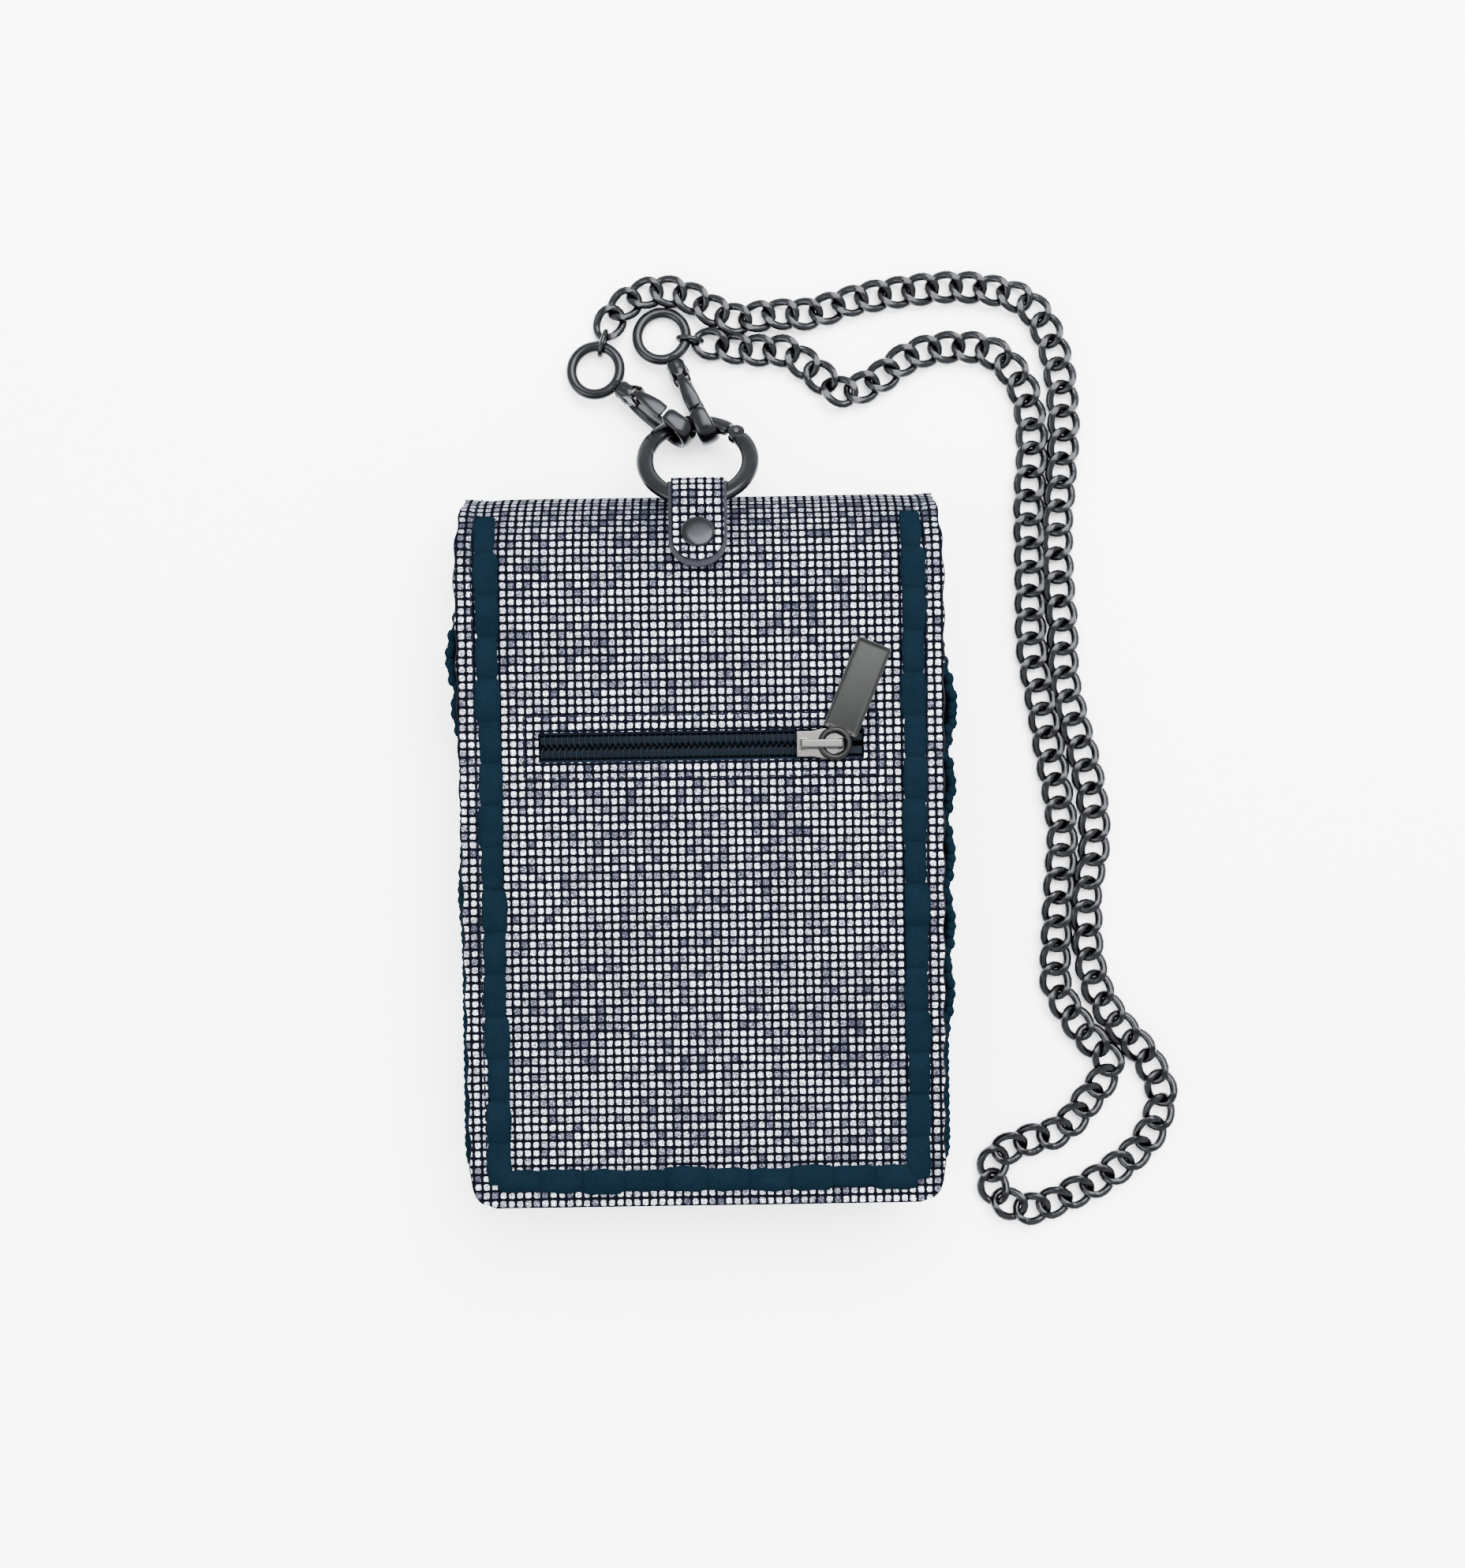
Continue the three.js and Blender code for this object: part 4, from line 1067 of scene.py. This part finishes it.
def makeTab():
    strap = tabLayer("tabLeather", tab["thick"] * 1.5 + tab["gap"], tab["wide"], tab["end"])
    strap.data.materials.append(glitter)
    strap.data.materials.append(backing)
    modify(strap, "SOLIDIFY", thickness=tab["thick"], offset=0, material_offset_rim=1)
    bevel(strap, 0.00015, 2, 50)
    smooth(strap, 45)
    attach(strap, "root")
    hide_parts("tab_strap")
    under = tabLayer("tabUnder", tab["thick"] * 0.5, tab["underWide"], tab["underEnd"])
    modify(under, "SOLIDIFY", thickness=tab["thick"], offset=0)
    bevel(under, 0.0002, 2, 50)
    finished(smooth(under, 45), lining, "black_lining", "root", "tab_lining")
    capBase = tab["lower"] + tab["gap"] * 2 + tab["thick"] * 2 + 0.0002
    radius, lip = tab["rivetRadius"], tab["rivetLip"]
    profile = [(radius - 0.0003, 0), (radius, 0.00008), (radius, lip)]
    for i in range(1, 9):
        angle = math.pi / 2 * i / 9
        rise = (tab["rivetHigh"] - lip) * math.sin(angle)
        profile.append((radius * math.cos(angle) ** 0.55, lip + rise))
    rivet = turned("rivetCap", profile, 48)
    tilt = Matrix.Translation((0, noseY, foldZ)) @ spun(tab["rivetTurn"], "X")
    rivet.data.transform(tilt @ Matrix.Translation((0, 0, capBase)))
    finished(smooth(rivet, 40), gunmetal, "gunmetal", "root", "rivet_cap")
    print("tab made")


makeTab()


# spring-gate ring
ring = {"radius": 0.01295, "halfWide": 0.00215, "halfThick": 0.00135, "tilt": 35, "pin": 42,
        "tip": 155.2, "gap": 1.3, "slant": 14.5,
        "cheek": 0.0021, "cheekIn": 0.0009, "tongue": 0.0017, "tongueHalf": 0.0006, "neck": 0.0011,
        "post": 0.00065}


def ringFrame():
    hub = Vector(joints["ring_swing"]["pos_m"])
    tilt = spun(-ring["tilt"], "X")
    return Matrix.Translation(hub + tilt @ Vector((0, ring["radius"], 0))) @ tilt


def ringArc(name, start, stop, slantStart=0.0, slantStop=0.0):  # the slanted ends let the gate swing in
    rings = []
    steps = max(8, round((stop - start) / 4))
    for i in range(steps + 1):
        share = i / steps
        slant = slantStart * max(0.0, 1 - share * 4) + slantStop * max(0.0, share * 4 - 3)
        ease = 0.93 if i in (0, steps) else 1.0
        section = []
        for angle in turns(16):
            out, rise = oval(angle, 0.8, 0.8)
            reach = ring["radius"] + ease * ring["halfWide"] * out
            turn = math.radians(start + (stop - start) * share - slant * out)
            high = ease * ring["halfThick"] * rise
            section.append(Vector((reach * math.cos(turn), reach * math.sin(turn), high)))
        rings.append(section)
    return sweep(name, rings)


def disc(name, place, radius, bottom, top, edge=0.0002):
    piece = settle(added(name, bpy.ops.mesh.primitive_cylinder_add, vertices=40, radius=radius,
                         depth=top - bottom, location=(place.x, place.y, (top + bottom) / 2)))
    bevel(piece, edge, 3, 40)
    return smooth(piece, 40)


def makeRing():
    pinTurn = math.radians(ring["pin"])
    pin = Vector((ring["radius"] * math.cos(pinTurn), ring["radius"] * math.sin(pinTurn), 0))
    thick = ring["halfThick"]
    body = ringArc("hoop", ring["tip"] + ring["gap"], 360 + ring["pin"] - 7, slantStart=ring["slant"])
    cheeks = [disc("cheek", pin, ring["cheek"], *ends)
              for ends in ((ring["cheekIn"], thick), (-thick, -ring["cheekIn"]))]
    hoop = joined("springRing", [body] + cheeks)
    gateArc = ringArc("gateArc", ring["pin"] + 11, ring["tip"], slantStop=ring["slant"])
    tongueHalf = ring["tongueHalf"]
    tongue = disc("tongue", pin, ring["tongue"], -tongueHalf, tongueHalf)
    rings = []
    for degrees in (2, 6, 12):
        turn = math.radians(ring["pin"] + degrees)
        section = []
        for angle in turns(12):
            reach = ring["radius"] + ring["neck"] * math.cos(angle)
            high = tongueHalf * math.sin(angle)
            section.append(Vector((reach * math.cos(turn), reach * math.sin(turn), high)))
        rings.append(section)
    gate = joined("springGate", [gateArc, tongue, sweep("gateNeck", rings)])
    post = disc("ringPin", pin, ring["post"], -thick - 0.0001, thick + 0.00022, 0.00015)
    frameMatrix = ringFrame()
    for piece in (hoop, gate, post):
        piece.data.transform(frameMatrix)
    finished(hoop, gunmetal, "gunmetal", "ring", "ring_body")
    finished(gate, gunmetal, "gunmetal", "gate", "ring_gate")
    finished(post, nickel, "bright_nickel", "ring", "gate_pin")
    print("ring made")


makeRing()


# swivel clasps
clasp = {  # X runs up the clasp from the hook's bend to its eye
    "spine": [(0.0142, -0.0014), (0.0118, -0.0028), (0.0085, -0.0036), (0.0040, -0.0038), (0.0, -0.0038),
              (-0.0025, -0.0034), (-0.0042, -0.0021), (-0.0048, 0.0), (-0.0042, 0.0021), (-0.0025, 0.0034),
              (0.0, 0.0038), (0.0026, 0.0038)],
    "spineHalf": [0.0017, 0.0019, 0.0021, 0.0024, 0.0025, 0.0024, 0.0021], "spineThick": 0.00092,
    "cheek": [(0.0142, 0.0), (0.0130, 0.0016), (0.0112, 0.0031)],
    "cheekHalf": 0.00042, "cheekThick": 0.0014, "cheekOut": 0.00175,
    "barrel": [(0.0014, 0.0118), (0.0021, 0.0124), (0.0026, 0.0136), (0.0025, 0.0148), (0.0023, 0.0156),
               (0.0024, 0.0166), (0.0021, 0.0172)],
    "lever": [(0.0126, 0.0030), (0.0105, 0.0038), (0.0080, 0.0041), (0.0055, 0.0040), (0.0033, 0.0037)],
    "leverHalf": [0.0011, 0.00125, 0.0017, 0.0020, 0.0019], "leverThick": 0.00072,
    "eye": 0.00615, "eyeWire": 0.00135, "stem": 0.00085, "stemLong": 0.0066, "stemAt": -0.0097,
    "beadAt": -0.0070, "headAt": -0.0131,
    "bead": [(0.0009, -0.0009), (0.0015, -0.0006), (0.0018, 0.0), (0.0016, 0.0007), (0.0011, 0.0012)],
    "head": [(0.0013, -0.0009), (0.0016, -0.0006), (0.0016, 0.0006), (0.0013, 0.0009)],
}


def claspFrame(side):  # Z runs across the clasp, along the hook's pin
    place = Vector(joints[f"clasp_{side}_lift"]["pos_m"])
    across = Vector(joints[f"clasp_{side}_lift"]["axis"]).normalized()
    along = Vector(joints[f"swivel_{side}_turn"]["axis"]).normalized()
    return Matrix.Translation(place) @ Matrix((along, across.cross(along), across)).transposed().to_4x4()


def band(name, points, widths, halfThick):  # a flat bar with round edges, bent along points in the X-Y plane
    walk = Walk(smoothRoute([Vector((x, y, 0)) for x, y in points], 6))
    steps = 60
    rings = []
    for i in range(steps + 1):
        share = i / steps
        distance = walk.length * share
        heading = walk.heading(min(max(distance, 0.0002), walk.length - 0.0002))
        side = Vector((-heading.y, heading.x, 0))
        spot = share * (len(widths) - 1)
        j = min(int(spot), len(widths) - 2)
        half = widths[j] + (widths[j + 1] - widths[j]) * (spot - j)
        ends = min(1.0, 0.72 + min(share, 1 - share) * 12)
        section = []
        for angle in turns(20):
            out, rise = oval(angle, 0.75, 0.85)
            across = Vector((0, 0, out * half * ends))
            section.append(walk.at(distance) + across + side * (rise * halfThick * ends))
        rings.append(section)
    return sweep(name, rings)


def makeHook(side):
    spine = band("spine", clasp["spine"], clasp["spineHalf"], clasp["spineThick"])
    cheeks = []
    for out in (-clasp["cheekOut"], clasp["cheekOut"]):
        cheek = band("cheek", clasp["cheek"], [clasp["cheekHalf"]] * 2, clasp["cheekThick"])
        cheek.data.transform(Matrix.Translation((0, 0, out)))
        cheeks.append(cheek)
    barrel = turned("barrel", clasp["barrel"], 28)
    barrel.data.transform(spun(90, "Y"))
    hook = joined(f"hook_{side}Cast", [spine, barrel] + cheeks)
    hook.data.transform(claspFrame(side))
    return smooth(hook, 40)


def makeClasp(side):
    finished(makeHook(side), gunmetal, "gunmetal", f"clasp_{side}", f"hook_{side}")
    lever = band(f"trigger_{side}Bar", clasp["lever"], clasp["leverHalf"], clasp["leverThick"])
    lever.data.transform(claspFrame(side))  # the thumb bar that closes the hook's mouth
    finished(lever, gunmetal, "gunmetal", f"lever_{side}", f"trigger_{side}")
    pin = edgedCopy(f"trigger_pin_{side}Round", f"trigger_pin_{side}", 0.0001, 2, 50)
    finished(pin, nickel, "bright_nickel", f"clasp_{side}", f"trigger_pin_{side}")
    pieces = [added("eyelet", bpy.ops.mesh.primitive_torus_add, major_segments=56, minor_segments=16,
                    major_radius=clasp["eye"], minor_radius=clasp["eyeWire"])]
    pieces.append(settle(added("stem", bpy.ops.mesh.primitive_cylinder_add, vertices=24, radius=clasp["stem"],
                               depth=clasp["stemLong"], location=(clasp["stemAt"], 0, 0),
                               rotation=(0, math.pi / 2, 0))))
    for name in ("bead", "head"):
        knob = turned(name, clasp[name], 24)
        place = Matrix.Translation((clasp[name + "At"], 0, 0))
        knob.data.transform(place @ spun(90, "Y"))
        pieces.append(knob)
    swivel = joined(f"swivel_{side}Eye", pieces)
    swivelJoint = joints[f"swivel_{side}_turn"]
    swivel.data.transform(frameOf(Vector(swivelJoint["pos_m"]), Vector(swivelJoint["axis"]).normalized()))
    finished(smooth(swivel, 40), gunmetal, "gunmetal", f"swivel_{side}", f"swivel_{side}")


for claspSide in ("left", "right"):
    makeClasp(claspSide)
print("clasps made")


# the pieces inside keep their CAD shape, with their own finish
def dressInside():
    inside = {
        "back_lining": lining, "flap_lining": lining, "pocket_bag": pocketCloth,
        "zip_tape_upper": tapeCloth, "zip_tape_lower": tapeCloth,
        "snap_socket": nickel, "snap_backplate": nickel, "snap_stud": nickel, "rivet_post": nickel,
        "trigger_spring_left": nickel, "trigger_spring_right": nickel,
    }
    for node, finish in inside.items():
        for slot in frame["nodes"][node].material_slots:
            slot.material = finish


dressInside()
